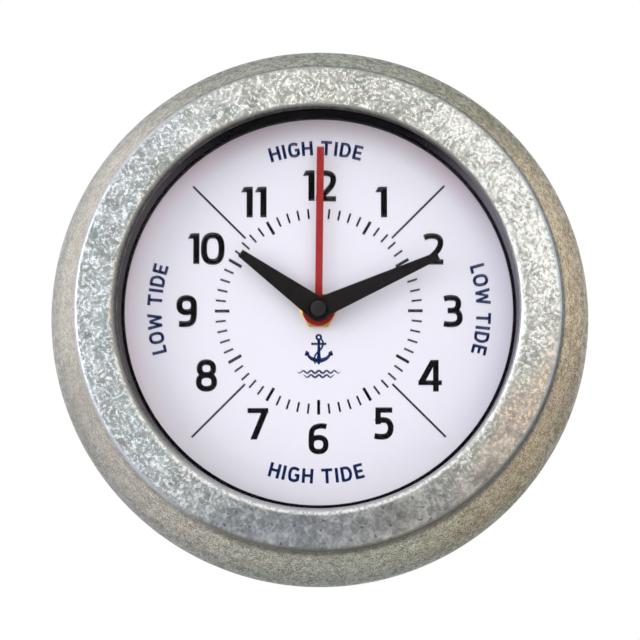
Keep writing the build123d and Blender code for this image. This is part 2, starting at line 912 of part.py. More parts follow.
def make_seconds_wheel():
    wheel_angle = meshing(seconds_at, intermediate_at, leaf_teeth)[0]
    pinion_angle = meshing(third_at, seconds_at, leaf_teeth)[1]
    at = seconds_at
    wheel = toothed_disc(seconds_wheel_teeth, train_module, wheel_angle, seconds_level, at)
    pinion = toothed_disc(leaf_teeth, train_module, pinion_angle, third_level, at)
    return small_arbor(at) + wheel + pinion


def make_third_wheel():
    wheel_angle = meshing(third_at, seconds_at, leaf_teeth)[0]
    pinion_angle = meshing(axis_at, third_at, leaf_teeth)[1]
    at = third_at
    wheel = toothed_disc(third_wheel_teeth, train_module, wheel_angle, third_level, at)
    pinion = toothed_disc(leaf_teeth, train_module, pinion_angle, centre_level, at)
    return small_arbor(at) + wheel + pinion


def make_centre_wheel():
    angle = meshing(axis_at, third_at, leaf_teeth)[0]
    wheel = toothed_disc(centre_wheel_teeth, train_module, angle, centre_level)
    return wheel - disc(clutch_seat_radius + running_fit, centre_level, clutch_level)


# Motion work, hands and their arbors


def make_minute_arbor():
    shoulder = middle_plate_back - running_fit
    collar_back = centre_level - wheel_gap / 2
    arbor = disc(minute_arbor_radius, shoulder, minute_blade)
    arbor += disc(minute_thread_radius, minute_blade - weld, thread_end)
    arbor += disc(clutch_seat_radius, collar_back, shoulder + weld)
    arbor += disc(minute_pivot_radius, train_plate_back + running_fit, collar_back + weld)
    angle = meshing(axis_at, setting_at, setting_wheel_teeth)[0]
    return arbor + toothed_disc(cannon_teeth, motion_module, angle, cannon_level)


def make_clutch_spring():
    leaf = clutch_leaf
    outer = clutch_radius
    back = clutch_level + running_fit
    front = middle_plate_back - running_fit
    bore = clutch_seat_radius + push_fit
    return turned(outline((bore, front - leaf), (outer, back), (outer, back + leaf), (bore, front)))


def make_setting_wheel():
    wheel_angle = meshing(axis_at, setting_at, setting_wheel_teeth)[1]
    pinion_angle = meshing(setting_at, axis_at, hour_wheel_teeth)[0]
    at = setting_at
    arbor = disc(setting_arbor_radius, knob_grip_back, tide_level, at)
    arbor += disc(small_pivot_radius, tide_level - weld, pivot_end, at)
    wheel = toothed_disc(setting_wheel_teeth, motion_module, wheel_angle, cannon_level, at)
    pinion = toothed_disc(setting_pinion_teeth, motion_module, pinion_angle, hour_level, at)
    return arbor + wheel + pinion


def make_set_knob():
    front = movement_back - knob_gap
    knob = disc(knob_radius, knob_recess, front, setting_at)
    grip_circle = knob_radius + knob_grip_offset
    for index in range(knob_grips):
        place = stepped(setting_at, grip_circle, 360.0 * index / knob_grips)
        knob -= disc(knob_grip_radius, knob_recess, front, place)
    return knob - disc(setting_arbor_radius, knob_grip_back, front, setting_at)


def make_hour_wheel():
    hour_angle = meshing(setting_at, axis_at, hour_wheel_teeth)[1]
    tide_angle = meshing(axis_at, idler_at, idler_wheel_teeth)[0]
    front = hour_blade + hand_thickness
    wheel = toothed_disc(hour_wheel_teeth, motion_module, hour_angle, hour_level)
    wheel += toothed_disc(hour_tide_teeth, tide_module, tide_angle, hour_tide_level)
    wheel += disc(hour_tube_radius, hour_level, front)
    return wheel - disc(hour_tube_bore, hour_level, front)


def make_tide_idler():
    wheel_angle = meshing(axis_at, idler_at, idler_wheel_teeth)[1]
    pinion_angle = meshing(idler_at, axis_at, tide_wheel_teeth)[0]
    at = idler_at
    arbor = disc(small_pivot_radius, middle_plate_back + running_fit, pivot_end, at)
    wheel = toothed_disc(idler_wheel_teeth, tide_module, wheel_angle, hour_tide_level, at)
    pinion = toothed_disc(idler_pinion_teeth, tide_pinion_module, pinion_angle, tide_level, at)
    return arbor + wheel + pinion


def make_tide_wheel():
    angle = meshing(idler_at, axis_at, tide_wheel_teeth)[1]
    front = tide_blade + hand_thickness
    wheel = toothed_disc(tide_wheel_teeth, tide_pinion_module, angle, tide_level)
    wheel += disc(tide_tube_radius, tide_level, front)
    return wheel - disc(tide_tube_bore, tide_level, front)


def hand(length, base_width, tip_width, hub_radius, bore, level, rest, collar):
    """Flat hand with a round hub on a short collar, turned clockwise from twelve to its rest."""
    half_base = base_width / 2
    half_tip = tip_width / 2
    blade = outline((-half_base, 0), (half_base, 0), (half_tip, length), (-half_tip, length))
    blade = Pos(0, 0, level) * extrude(blade, hand_thickness)
    blade += disc(hub_radius, level, level + hand_thickness)
    if collar:
        blade += disc(bore + collar_wall, level - collar, level + weld)
    blade -= disc(bore, level - collar, level + hand_thickness)
    return Rot(0, 0, -rest) * blade


def make_tide_hand():
    width = tide_hand_width
    bore = tide_tube_radius
    level = tide_blade
    return hand(tide_hand_length, width, width, tide_hub_radius, bore, level, tide_hand_rest, collar_height)


def make_hour_hand():
    return hand(
        hour_hand_length,
        hour_hand_base,
        hour_hand_tip,
        hand_hub_radius,
        hour_tube_radius,
        hour_blade,
        hour_hand_rest,
        collar_height,
    )


def make_minute_hand():
    return hand(
        minute_hand_length,
        minute_hand_base,
        minute_hand_tip,
        hand_hub_radius,
        minute_thread_radius,
        minute_blade,
        minute_hand_rest,
        0,
    )


def make_hand_cap():
    rise = cap_height - cap_edge_height
    sphere_radius = (cap_radius**2 + rise**2) / (2 * rise)
    half = cap_radius / 2
    shoulder = cap_front - sphere_radius + (sphere_radius**2 - half**2) ** 0.5
    edge = (cap_radius, cap_back + cap_edge_height)
    dome = ThreePointArc(edge, (half, shoulder), (0, cap_front))
    sides = Polyline((0, cap_front), (0, cap_back), (cap_radius, cap_back), edge)
    cap = turned(make_face([*dome.edges(), *sides.edges()]))
    return cap - disc(minute_thread_radius, cap_back, thread_end)


# Battery and contacts


def along_cell(radius, left, right):
    """Round bar along the battery."""
    bar = Rot(0, 90, 0) * Cylinder(radius, right - left)
    return Pos((left + right) / 2, battery_y, battery_z) * bar


def make_battery():
    half = battery_length / 2
    can = along_cell(battery_radius, -half, half - battery_nub_length)
    can = fillet(can.edges(), battery_edge_radius)
    return can + along_cell(battery_nub_radius, half - battery_nub_length - weld, half)


def contact(side):
    """Leaf against one end of the battery trough, with a dimple on the cell and a tail to the board."""
    half = battery_length / 2
    inner = half + contact_spring
    outer = inner + contact_thickness
    low = min(side * inner, side * outer)
    high = max(side * inner, side * outer)
    leaf_bottom = battery_y - contact_width
    leaf_top = plate_bottom + contact_width
    leaf = block(low, high, leaf_bottom, leaf_top, contact_back, contact_front)
    dimple = along_cell(contact_width * contact_dimple, min(side * half, high), max(side * half, low))
    return leaf + dimple


def make_contact_positive():
    return contact(1)


def make_contact_negative():
    return contact(-1)


pieces = {
    "case_shell": make_case_shell,
    "bezel_ring": make_bezel_ring,
    "lens_gasket": make_lens_gasket,
    "lens": make_lens,
    "dial_surround": make_dial_surround,
    "dial_plate": make_dial_plate,
    "dial_backing": make_dial_backing,
    "dial_screws": make_dial_screws,
    "rear_cover": make_rear_cover,
    "cover_screws": make_cover_screws,
    "movement_washer": make_movement_washer,
    "movement_nut": make_movement_nut,
    "movement_bushing": make_movement_bushing,
    "movement_front_case": make_movement_front_case,
    "movement_back_cover": make_movement_back_cover,
    "middle_plate": make_middle_plate,
    "train_plate": make_train_plate,
    "train_screws": make_train_screws,
    "circuit_board": make_circuit_board,
    "quartz_crystal": make_quartz_crystal,
    "control_chip": make_control_chip,
    "stator": make_stator,
    "stator_screws": make_stator_screws,
    "coil_core": make_coil_core,
    "coil_bobbin": make_coil_bobbin,
    "coil_winding": make_coil_winding,
    "rotor_magnet": make_rotor_magnet,
    "rotor_pinion": make_rotor_pinion,
    "intermediate_wheel": make_intermediate_wheel,
    "seconds_wheel": make_seconds_wheel,
    "third_wheel": make_third_wheel,
    "centre_wheel": make_centre_wheel,
    "clutch_spring": make_clutch_spring,
    "minute_arbor": make_minute_arbor,
    "setting_wheel": make_setting_wheel,
    "set_knob": make_set_knob,
    "hour_wheel": make_hour_wheel,
    "tide_idler": make_tide_idler,
    "tide_wheel": make_tide_wheel,
    "tide_hand": make_tide_hand,
    "hour_hand": make_hour_hand,
    "minute_hand": make_minute_hand,
    "hand_cap": make_hand_cap,
    "battery": make_battery,
    "contact_positive": make_contact_positive,
    "contact_negative": make_contact_negative,
}

stand_up = Rot(90, 0, 0)
os.makedirs("parts", exist_ok=True)
for name, make in pieces.items():
    made = make()
    solids = made if isinstance(made, list) else [made]
    standing = [stand_up * solid for solid in solids]
    node = standing[0] if len(standing) == 1 else Compound(children=standing)
    export_step(node, f"parts/{name}.step")
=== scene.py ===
# %% [markdown]
# A round wall clock that shows the tide. Its case is galvanised steel sheet, its dial is printed, and three
# hands turn over it: black ones for the hour and the minute, a red one for the tide.
# The solid model of the clock is loaded first and stays where it is. Everything made below is fitted to it,
# in metres, with the wall at Y = 0, the dial facing -Y and twelve o'clock at +Z.

# %% Load the solid model
import json

import bpy
import numpy as np
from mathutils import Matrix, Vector


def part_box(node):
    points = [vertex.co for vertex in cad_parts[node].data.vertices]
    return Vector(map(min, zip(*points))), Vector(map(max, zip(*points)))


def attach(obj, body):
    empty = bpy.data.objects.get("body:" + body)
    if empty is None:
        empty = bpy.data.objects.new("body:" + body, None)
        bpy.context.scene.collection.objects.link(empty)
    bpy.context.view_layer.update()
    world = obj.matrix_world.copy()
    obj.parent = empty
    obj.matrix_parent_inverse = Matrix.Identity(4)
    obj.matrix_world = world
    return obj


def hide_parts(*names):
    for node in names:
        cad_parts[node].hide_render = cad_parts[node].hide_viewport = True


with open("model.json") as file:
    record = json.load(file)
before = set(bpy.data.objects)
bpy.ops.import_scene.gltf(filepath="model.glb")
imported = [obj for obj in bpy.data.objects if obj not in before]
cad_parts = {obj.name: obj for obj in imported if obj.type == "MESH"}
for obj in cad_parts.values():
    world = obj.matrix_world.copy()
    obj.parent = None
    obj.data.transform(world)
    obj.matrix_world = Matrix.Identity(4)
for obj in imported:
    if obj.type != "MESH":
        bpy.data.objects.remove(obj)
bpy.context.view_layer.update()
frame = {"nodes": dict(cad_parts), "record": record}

scene = bpy.context.scene
MM = 0.001

# %% [markdown]
# The photograph was taken with a long lens from about 1.1 m, a little below the middle of the clock and
# very slightly to its right. A camera could be placed by eye; here its angles and distance were worked out
# from the sizes of the rim, the ring and the dial in the picture, so that their outlines fall where they
# should. The camera is tilted up and not shifted, so that it also works from other sides.

# %% Camera
elevation, azimuth, distance = np.radians(-6.7), np.radians(0.9), 1.07
aim = np.array([0.08, 0.0, -0.24]) * MM
SENSOR_WIDTH, FOCAL_LENGTH = 36.0, 145.8  # in millimetres, as a camera has them
towards_camera = np.array([
    np.sin(azimuth) * np.cos(elevation),
    -np.cos(azimuth) * np.cos(elevation),
    np.sin(elevation),
])
camera_data = bpy.data.cameras.new("long_lens")
camera_data.sensor_width = SENSOR_WIDTH
camera_data.lens = FOCAL_LENGTH
camera = bpy.data.objects.new("long_lens", camera_data)
scene.collection.objects.link(camera)
camera.location = aim + distance * towards_camera
camera.rotation_mode = "QUATERNION"
camera.rotation_quaternion = Vector(-towards_camera).to_track_quat("-Z", "Y")
scene.camera = camera
print("camera at", np.round(camera.location, 3).tolist())

# %% [markdown]
# Shading is easier to read as sums than as a web of nodes. One small class wraps a socket, so that an
# expression such as 1 - mask * 0.5 adds the Math nodes for it. Another holds a material: its shader's fixed
# values are set at the start, and every other node comes from its one method, which takes the node's type,
# its settings, and the values or links of its sockets.


# %% Shader expressions
class Value:
    """A socket of a node that can be used in sums."""

    def __init__(self, finish, socket):
        self.finish, self.socket = finish, socket

    def math(self, operation, first, second):
        return self.finish.node("ShaderNodeMath", {"operation": operation}, {0: first, 1: second})

    def __add__(self, other):
        return self.math("ADD", self, other)

    def __radd__(self, other):
        return self.math("ADD", other, self)

    def __sub__(self, other):
        return self.math("SUBTRACT", self, other)

    def __rsub__(self, other):
        return self.math("SUBTRACT", other, self)

    def __mul__(self, other):
        return self.math("MULTIPLY", self, other)

    def __rmul__(self, other):
        return self.math("MULTIPLY", other, self)

    def __truediv__(self, other):
        return self.math("DIVIDE", self, other)


class Finish:
    """A material with one Principled shader, whose fixed socket values are given by name. Its place is where
    a point lies on the object, in metres."""

    def __init__(self, name, **fixed):
        self.material = bpy.data.materials.new(name)
        self.material.use_nodes = True
        self.tree = self.material.node_tree
        self.tree.nodes.clear()
        self.shader = self.tree.nodes.new("ShaderNodeBsdfPrincipled")
        output = self.tree.nodes.new("ShaderNodeOutputMaterial")
        self.tree.links.new(self.shader.outputs[0], output.inputs[0])
        self.set(**fixed)
        self.place = self.node("ShaderNodeTexCoord", out="Object")

    def put(self, socket, value):
        """Links a Value to a socket, or sets a number or colour on it."""
        if isinstance(value, Value):
            self.tree.links.new(value.socket, socket)
        elif isinstance(value, (tuple, list)) and len(value) == 3 and len(socket.default_value) == 4:
            socket.default_value = (*value, 1.0)
        else:
            socket.default_value = value

    def set(self, **sockets):
        """Links Values to the shader's own sockets, or sets numbers and colours on them."""
        for socket, value in sockets.items():
            self.put(self.shader.inputs[socket.replace("_", " ")], value)
        return self

    def node(self, kind, settings=None, sockets=None, out=0):
        """Adds a node, sets its settings first and then its sockets, and gives one of its outputs."""
        made = self.tree.nodes.new(kind)
        for name, setting in (settings or {}).items():
            if name == "stops":
                ramp = made.color_ramp
                while len(ramp.elements) < len(setting):
                    ramp.elements.new(1.0)
                for element, (place, colour) in zip(ramp.elements, setting):
                    element.position = place
                    element.color = (*colour, 1.0)
            else:
                setattr(made, name, setting)
        for name, value in (sockets or {}).items():
            self.put(made.inputs[name], value)
        return Value(self, made.outputs[out])

    def vector(self, operation, first, second=(0.0, 0.0, 0.0), scale=1.0):
        """Vector Math. A dot product and a length come out as numbers, everything else as a vector. Scale is
        given by its number, because a socket that is switched off is not found by its name."""
        out = "Value" if operation in ("DOT_PRODUCT", "LENGTH") else "Vector"
        sockets = {0: first, 1: second, 3: scale}
        return self.node("ShaderNodeVectorMath", {"operation": operation}, sockets, out)

    def noise(self, scale, detail=2.0, vector=None, out=0):
        """Noise about 0.5 with so many swells to a metre."""
        sockets = {"Vector": vector or self.place, "Scale": scale, "Detail": detail}
        return self.node("ShaderNodeTexNoise", None, sockets, out)

    def ramp(self, value, stops):
        """A colour that goes through the given stops as a value grows."""
        return self.node("ShaderNodeValToRGB", {"stops": stops}, {0: value})

    def mix(self, share, first, second, blend="MIX"):
        """A share of the second colour laid over the first."""
        settings = {"data_type": "RGBA", "blend_type": blend}
        return self.node("ShaderNodeMix", settings, {0: share, 6: first, 7: second}, out=2)

    def between(self, value, low, high, start=0.0, end=1.0):
        """Goes smoothly from start to end as a value goes from low to high."""
        sockets = {"Value": value, "From Min": low, "From Max": high, "To Min": start, "To Max": end}
        return self.node("ShaderNodeMapRange", {"interpolation_type": "SMOOTHSTEP"}, sockets)

    def bump(self, height, depth):
        """A normal that leans as if the height stood out of the surface by the depth."""
        return self.node("ShaderNodeBump", None, {"Height": height, "Distance": depth})


print("shader helpers ready")

# %% [markdown]
# The light is a plain studio with an even white surround. A picture of a studio could light it; a plain
# colour is enough here. The background is white to the camera and in reflections through Light Path, while
# what lights the object is a dimmer grey, so nothing is overexposed.

# %% White surround
studio = bpy.data.worlds.new("white_studio")
scene.world = studio
studio.use_nodes = True
wires = studio.node_tree
wires.nodes.clear()
FILL, FILL_STRENGTH = (0.97, 0.97, 1.0, 1.0), 0.6
WHITE, WHITE_STRENGTH = (1.0, 1.0, 1.0, 1.0), 1.0


def larger(first, second):
    """The larger of two sockets of the world."""
    node = wires.nodes.new("ShaderNodeMath")
    node.operation = "MAXIMUM"
    wires.links.new(first, node.inputs[0])
    wires.links.new(second, node.inputs[1])
    return node.outputs[0]


def background(tint, strength):
    """An even background of one colour and strength."""
    node = wires.nodes.new("ShaderNodeBackground")
    node.inputs["Color"].default_value = tint
    node.inputs["Strength"].default_value = strength
    return node.outputs[0]


ray = wires.nodes.new("ShaderNodeLightPath").outputs
seen = larger(larger(ray["Is Camera Ray"], ray["Is Glossy Ray"]), ray["Is Transmission Ray"])
choose = wires.nodes.new("ShaderNodeMixShader")
choices = (seen, background(FILL, FILL_STRENGTH), background(WHITE, WHITE_STRENGTH))
for source, socket in zip(choices, choose.inputs):
    wires.links.new(source, socket)
world_output = wires.nodes.new("ShaderNodeOutputWorld")
wires.links.new(choose.outputs[0], world_output.inputs[0])
scene.view_settings.view_transform = "Standard"
print("world:", len(wires.nodes), "nodes")

# %% [markdown]
# A lamp far wider than the clock hangs above the camera, so that the hands cast only soft shadows. A smaller
# one on the left draws the bright line along the ring's edge. A sun or a spot would cast hard shadows, so
# both are square area lamps. The floor is a pale sheet well below the clock.


# %% Lamps and floor
def soft_lamp(name, place, size, watts):
    """A square lamp that looks at the middle of the clock."""
    data = bpy.data.lights.new(name, "AREA")
    data.size, data.energy = size, watts
    lamp = bpy.data.objects.new(name, data)
    lamp.location = place
    lamp.rotation_mode = "QUATERNION"
    lamp.rotation_quaternion = (-Vector(place)).to_track_quat("-Z", "Y")
    lamp.visible_camera = False
    scene.collection.objects.link(lamp)
    return lamp


soft_lamp("lamp_above", (0.25, -1.25, 1.15), size=3.0, watts=18.0).visible_glossy = False
soft_lamp("lamp_left", (-1.3, -0.75, 0.25), size=0.8, watts=7.4)
FLOOR_LEVEL, FLOOR_REACH, FLOOR_SPECKS = -0.2, 2.0, 40.0
floor_mesh = bpy.data.meshes.new("floor")
sides = ((-1, -1), (1, -1), (1, 1), (-1, 1))
corners = [(FLOOR_REACH * right, FLOOR_REACH * back, FLOOR_LEVEL) for right, back in sides]
floor_mesh.from_pydata(corners, [], [(0, 1, 2, 3)])
floor = bpy.data.objects.new("floor", floor_mesh)
scene.collection.objects.link(floor)
sheet_white = Finish("floor_sheet", Roughness=0.9)
speck = sheet_white.noise(FLOOR_SPECKS)
sheet_white.set(Base_Color=sheet_white.mix(speck, (0.86, 0.86, 0.86), (0.9, 0.9, 0.9)))
floor_mesh.materials.append(sheet_white.material)

# %% [markdown]
# Hot-dip galvanised steel carries a skin of zinc crystals, the spangle. Every crystal has grown in its own
# direction, so it shows as a few bright flecks that lie another way than its neighbour's. A photograph of
# zinc could be used; here a Voronoi pattern gives the crystals and a random direction for each, a sine along
# that direction gives faint bars, and noise of two sizes gives the flecks. Clouds of lighter and darker grey
# lie under them.

# %% Spangled zinc
# How many of each there are to the width of a fleck.
PER_FLECK = {
    "stir": 0.6, "crystal": 0.36, "bar": 1.15, "coarse": 0.85, "fine": 1.7, "cloud": 0.13, "puff": 0.45,
}
MIDDLE = (0.5, 0.5, 0.5)
CRYSTAL_LEAN = 0.16


def spangled(name, fleck):
    """Zinc crystals with flecks of a given size. Flecks are a little of the sine of how far a point lies along
    its crystal's direction, and much of two noises. Clouds are two broader noises and each crystal's own
    level. Gives the finish, the flecks about 0.5 and the clouds about 0."""
    zinc = Finish(name, Metallic=1.0, Specular_IOR_Level=0.1)
    per_metre = {what: count / fleck for what, count in PER_FLECK.items()}
    stir = zinc.vector("SUBTRACT", zinc.noise(per_metre["stir"], out="Color"), MIDDLE)
    bent = zinc.vector("ADD", zinc.place, zinc.vector("SCALE", stir, scale=fleck))
    voronoi = {"Vector": bent, "Scale": per_metre["crystal"]}
    crystals = zinc.node("ShaderNodeTexVoronoi", None, voronoi, out="Color")
    tilt = zinc.vector("SUBTRACT", crystals, MIDDLE)
    along = zinc.vector("DOT_PRODUCT", bent, zinc.vector("NORMALIZE", tilt))
    turns = along * (PER_FLECK["bar"] * np.pi / fleck)
    bars = zinc.node("ShaderNodeMath", {"operation": "SINE"}, {0: turns})
    level = zinc.node("ShaderNodeSeparateColor", None, {0: crystals}, out=1)
    flecks = 0.2 * bars + 1.5 * zinc.noise(per_metre["coarse"]) + 0.9 * zinc.noise(per_metre["fine"]) - 0.7
    clouds = 0.6 * zinc.noise(per_metre["cloud"], 3.0) + 0.5 * zinc.noise(per_metre["puff"]) - 0.55
    lean = zinc.vector("SCALE", tilt, scale=CRYSTAL_LEAN)
    upright = zinc.node("ShaderNodeNewGeometry", out="Normal")
    normal = zinc.vector("NORMALIZE", zinc.vector("ADD", upright, lean))
    zinc.set(Roughness=0.5 - 0.2 * level, Normal=normal)
    return zinc, flecks, clouds + 0.2 * level - 0.1


print("zinc: a function for its crystals")

# %% [markdown]
# Light, shade and reflections are painted into the zinc and the dial by where a point is on the clock.
# Masks could be painted by hand; here they are worked out from the side of the clock that a point is on, by
# the clock's own angles, and from its distance to the axis. A blotchy noise makes their borders ragged.

# %% Where a point lies
SIDE_UNIT = 90 * MM
BLOTCHES = 45.0  # to a metre


def towards(finish, clockwise):
    """How far a point lies towards a clockwise direction in degrees: the dot product with it, over a unit."""
    direction = (np.sin(np.radians(clockwise)), 0.0, np.cos(np.radians(clockwise)))
    return finish.vector("DOT_PRODUCT", finish.place, direction) / SIDE_UNIT


def side_of(finish, clockwise, start, full, most=1.0, ragged=0.35):
    """One side of the clock: 0 up to the start, then up to the most where it is full, with a ragged edge."""
    blotch = finish.noise(BLOTCHES, 4.0) - 0.5
    return finish.between(towards(finish, clockwise) + ragged * blotch, start, full, 0.0, most)


def from_axis(finish):
    """The distance of a point from the axis: the length of its place with the depth left out."""
    return finish.vector("LENGTH", finish.vector("MULTIPLY", finish.place, (1.0, 0.0, 1.0)))


print("places: towards a side, on a side, from the axis")

# %% [markdown]
# On the ring the zinc is painted lighter at the upper right and a little at the top left, as painted light, and
# bluish on the left as a painted reflection, with small brown spots all over.
# One grey would look like paint, so the tone goes through three greys, from the dark between the crystals to
# the white of a glint.

# %% Zinc of the ring, with painted light
ring_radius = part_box("bezel_ring")[1][0]
lip_radius = 79.8 * MM
PATCHES, SPOTS, BLUE_PATCHES = 430.0, 420.0, 320.0  # to a metre
ring_zinc, flecks, clouds = spangled("ring_zinc", 1.12 * MM)
# Painted light: the zinc is lighter and glints more at the upper right, and a little lighter at the top left.
lit = side_of(ring_zinc, 68, 0.65, 1.0)
bright = side_of(ring_zinc, 330, 0.82, 1.0)
patchy = ring_zinc.between(ring_zinc.noise(PATCHES), 0.3, 0.62, 0.35, 1.0)
glints = ring_zinc.between(flecks + 0.15 * lit, 0.3, 0.98) * patchy
tone = 0.45 + 0.75 * clouds + 0.1 * lit + 0.05 * bright + 0.62 * glints
ring_greys = [(0.1, (0.17, 0.165, 0.13)), (0.45, (0.41, 0.41, 0.365)), (0.95, (1.0, 0.985, 0.925))]
colour = ring_zinc.ramp(tone, ring_greys)
spots = ring_zinc.between(ring_zinc.noise(SPOTS, 1.0), 0.66, 0.72, 0.0, 0.7)
colour = ring_zinc.mix(0.7 * spots, colour, (0.2, 0.17, 0.12))
blue = ring_zinc.between(ring_zinc.noise(BLUE_PATCHES), 0.45, 0.7, 0.0, 0.8)
colour = ring_zinc.mix(blue, colour, (0.9, 0.97, 1.0), "MULTIPLY")
# Painted reflection: a bluish cast on the left side.
colour = ring_zinc.mix(side_of(ring_zinc, 265, 0.0, 0.9), colour, (0.9, 0.955, 1.06), "MULTIPLY")
print("ring: clean zinc of radius", round(ring_radius, 4))

# %% [markdown]
# The bottom of the ring is painted darker and greyer as shade, and a painted warm reflection with tan flecks
# lies beside it at the lower right. Darkening the zinc above would keep its glints, which are gone there, so
# each skin is a ramp of its own that is laid over one side.

# %% Painted shade and reflection low on the ring
dull = 0.4 + 1.3 * clouds + 0.25 * flecks
browns = [(0.1, (0.3, 0.27, 0.24)), (0.5, (0.49, 0.43, 0.375)), (0.9, (0.72, 0.65, 0.58))]
tan = ring_zinc.between(patchy, 0.5, 1.0) * ring_zinc.between(flecks, 0.42, 0.85)
# Painted warm reflection at the lower right, with tan flecks, laid over that side.
warm_reflection_skin = ring_zinc.mix(tan, ring_zinc.ramp(dull, browns), (0.92, 0.68, 0.44))
colour = ring_zinc.mix(side_of(ring_zinc, 125, 0.84, 1.02, 0.92), colour, warm_reflection_skin)
# Painted shade at the bottom: darker greys, with dark spots and a painted warm reflection towards the lower
# right.
greys = [(0.1, (0.12, 0.13, 0.14)), (0.5, (0.225, 0.24, 0.26)), (0.9, (0.4, 0.42, 0.45))]
shaded_grey_skin = ring_zinc.mix(spots, ring_zinc.ramp(dull, greys), (0.06, 0.055, 0.075))
warm_reflection_tint = side_of(ring_zinc, 128, 0.5, 1.0)
shaded_grey_skin = ring_zinc.mix(warm_reflection_tint, shaded_grey_skin, (1.18, 1.09, 0.94), "MULTIPLY")
colour = ring_zinc.mix(side_of(ring_zinc, 174, 0.57, 1.0, 0.96), colour, shaded_grey_skin)
print("ring: brown and grey skins")

# %% [markdown]
# The outer bend of the ring is bright on the left and dark elsewhere. The lamps alone do not give all of that,
# so each side of the bend gets a tint of its own: painted shade at the top and bottom, a painted bluish
# reflection at the right, a painted highlight on the left, and a painted shadow line along the edge at the
# right.

# %% Outer bend of the ring
radius = from_axis(ring_zinc)
bend = ring_zinc.between(radius, ring_radius - 2.0 * MM, ring_radius - 0.7 * MM)
edge = ring_zinc.between(radius, ring_radius - 0.8 * MM, ring_radius - 0.35 * MM)
# Painted light on the bend: shade at the top, a bluish reflection at the right, shade at the bottom, a
# highlight on the left, and a shadow line at the edge.
painted_bend_light = [
    (bend, 20, 0.0, 0.8, 0.7, (0.36, 0.37, 0.365)),
    (bend, 95, 0.55, 0.95, 0.7, (0.4, 0.5, 0.55)),
    (bend, 170, 0.45, 0.9, 0.8, (0.19, 0.18, 0.14)),
    (bend, 270, 0.4, 0.8, 0.9, (0.55, 0.58, 0.66)),
    (edge, 80, -0.7, 0.1, 0.85, (0.1, 0.105, 0.1)),
]
for strip, clockwise, start, full, most, tint in painted_bend_light:
    share = strip * side_of(ring_zinc, clockwise, start, full, most, ragged=0.2)
    colour = ring_zinc.mix(share, colour, tint)
print("ring:", len(painted_bend_light), "worn sides")

# %% [markdown]
# The lip round the glass is grey inside, with painted shade deeper in and a painted reflection of the dial that
# makes it lighter at the bottom. A painted highlight runs along its bend, with cream painted highlight specks
# on the left and a bluish-grey band beside it on the right. At the top its inside is painted black as shade,
# and it is taken out of Metallic too, so that it stays black. The strips are measured inwards from a circle
# that is a little off centre, because they are wider on one side of the clock than on the other.

# %% Lip of the ring
LIP_WIDTH, LIP_UNEVEN = 1.7 * MM, 0.75 * MM
inwards = lip_radius + LIP_WIDTH + LIP_UNEVEN * towards(ring_zinc, 290) - radius
# A bluish-grey band just outside the lip on the right.
right_grey_band = ring_zinc.between(inwards, -3.6 * MM, -2.6 * MM) * ring_zinc.between(inwards, -1.5 * MM, -2.1 * MM)
# Painted highlight along the lip's bend, and cream painted highlight specks on the left.
lip_highlight = ring_zinc.between(inwards, -1.8 * MM, -0.7 * MM) * ring_zinc.between(flecks, 0.2, 0.7, 0.45, 1.0)
highlight_specks = ring_zinc.between(inwards, -1.3 * MM, -0.9 * MM) * ring_zinc.between(flecks, 0.4, 0.8)
lip_strips = [
    (right_grey_band, 95, 0.3, 0.9, 0.3, 0.5, (0.36, 0.39, 0.42)),
    (lip_highlight, 150, -0.5, 0.4, 0.8, 0.3, (1.0, 1.0, 0.95)),
    (highlight_specks, 280, 0.3, 0.9, 0.65, 0.4, (0.88, 0.76, 0.55)),
]
for strip, clockwise, start, full, most, ragged, tint in lip_strips:
    colour = ring_zinc.mix(strip * side_of(ring_zinc, clockwise, start, full, most, ragged), colour, tint)
# Inside the lip: painted shade deeper in, black at the top, and a painted reflection of the white dial that
# makes it lighter at the bottom.
inside = ring_zinc.between(inwards, -0.5 * MM, 0.5 * MM, 0.0, 0.92)
shaded = ring_zinc.between(inwards, 0.3 * MM, 1.7 * MM)
deepest = ring_zinc.mix(side_of(ring_zinc, 5, 0.4, 0.85), (0.06, 0.057, 0.063), (0.003, 0.003, 0.004))
lip_dark = ring_zinc.mix(shaded, (0.25, 0.245, 0.225), deepest)
lip_grey = ring_zinc.mix(side_of(ring_zinc, 150, -0.1, 0.75), lip_dark, (0.46, 0.455, 0.5))
top_lip_shade = shaded * side_of(ring_zinc, 5, 0.3, 0.8)
ring_zinc.set(Base_Color=ring_zinc.mix(inside, colour, lip_grey), Metallic=1.0 - top_lip_shade)
print("ring:", ring_zinc.material.name, len(ring_zinc.tree.nodes), "nodes")

# %% [markdown]
# The flank's zinc is finer and browner. Its top and bottom are painted darker as shade, its right side has a
# painted warm reflection and is painted greyer further out, and its left a painted highlight. The rim at the
# wall is painted darker all round as shade, a painted shadow lies in the groove under the ring, and a thin
# painted shadow line runs along the ring's edge. It uses the same crystals as the ring, with smaller flecks and
# its own tints.

# %% Zinc of the flank
rim_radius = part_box("case_shell")[1][0]
flank_zinc, flecks, clouds = spangled("flank_zinc", 0.6 * MM)
tone = 0.22 + 0.6 * clouds + 0.56 * flecks
flank_greys = [(0.2, (0.2, 0.18, 0.14)), (0.5, (0.5, 0.465, 0.4)), (0.8, (0.92, 0.88, 0.8))]
colour = flank_zinc.ramp(tone, flank_greys)
# Painted highlight: the flank is lighter on its left.
colour = flank_zinc.mix(side_of(flank_zinc, 282, 0.3, 1.0, 0.45), colour, (0.56, 0.535, 0.49))
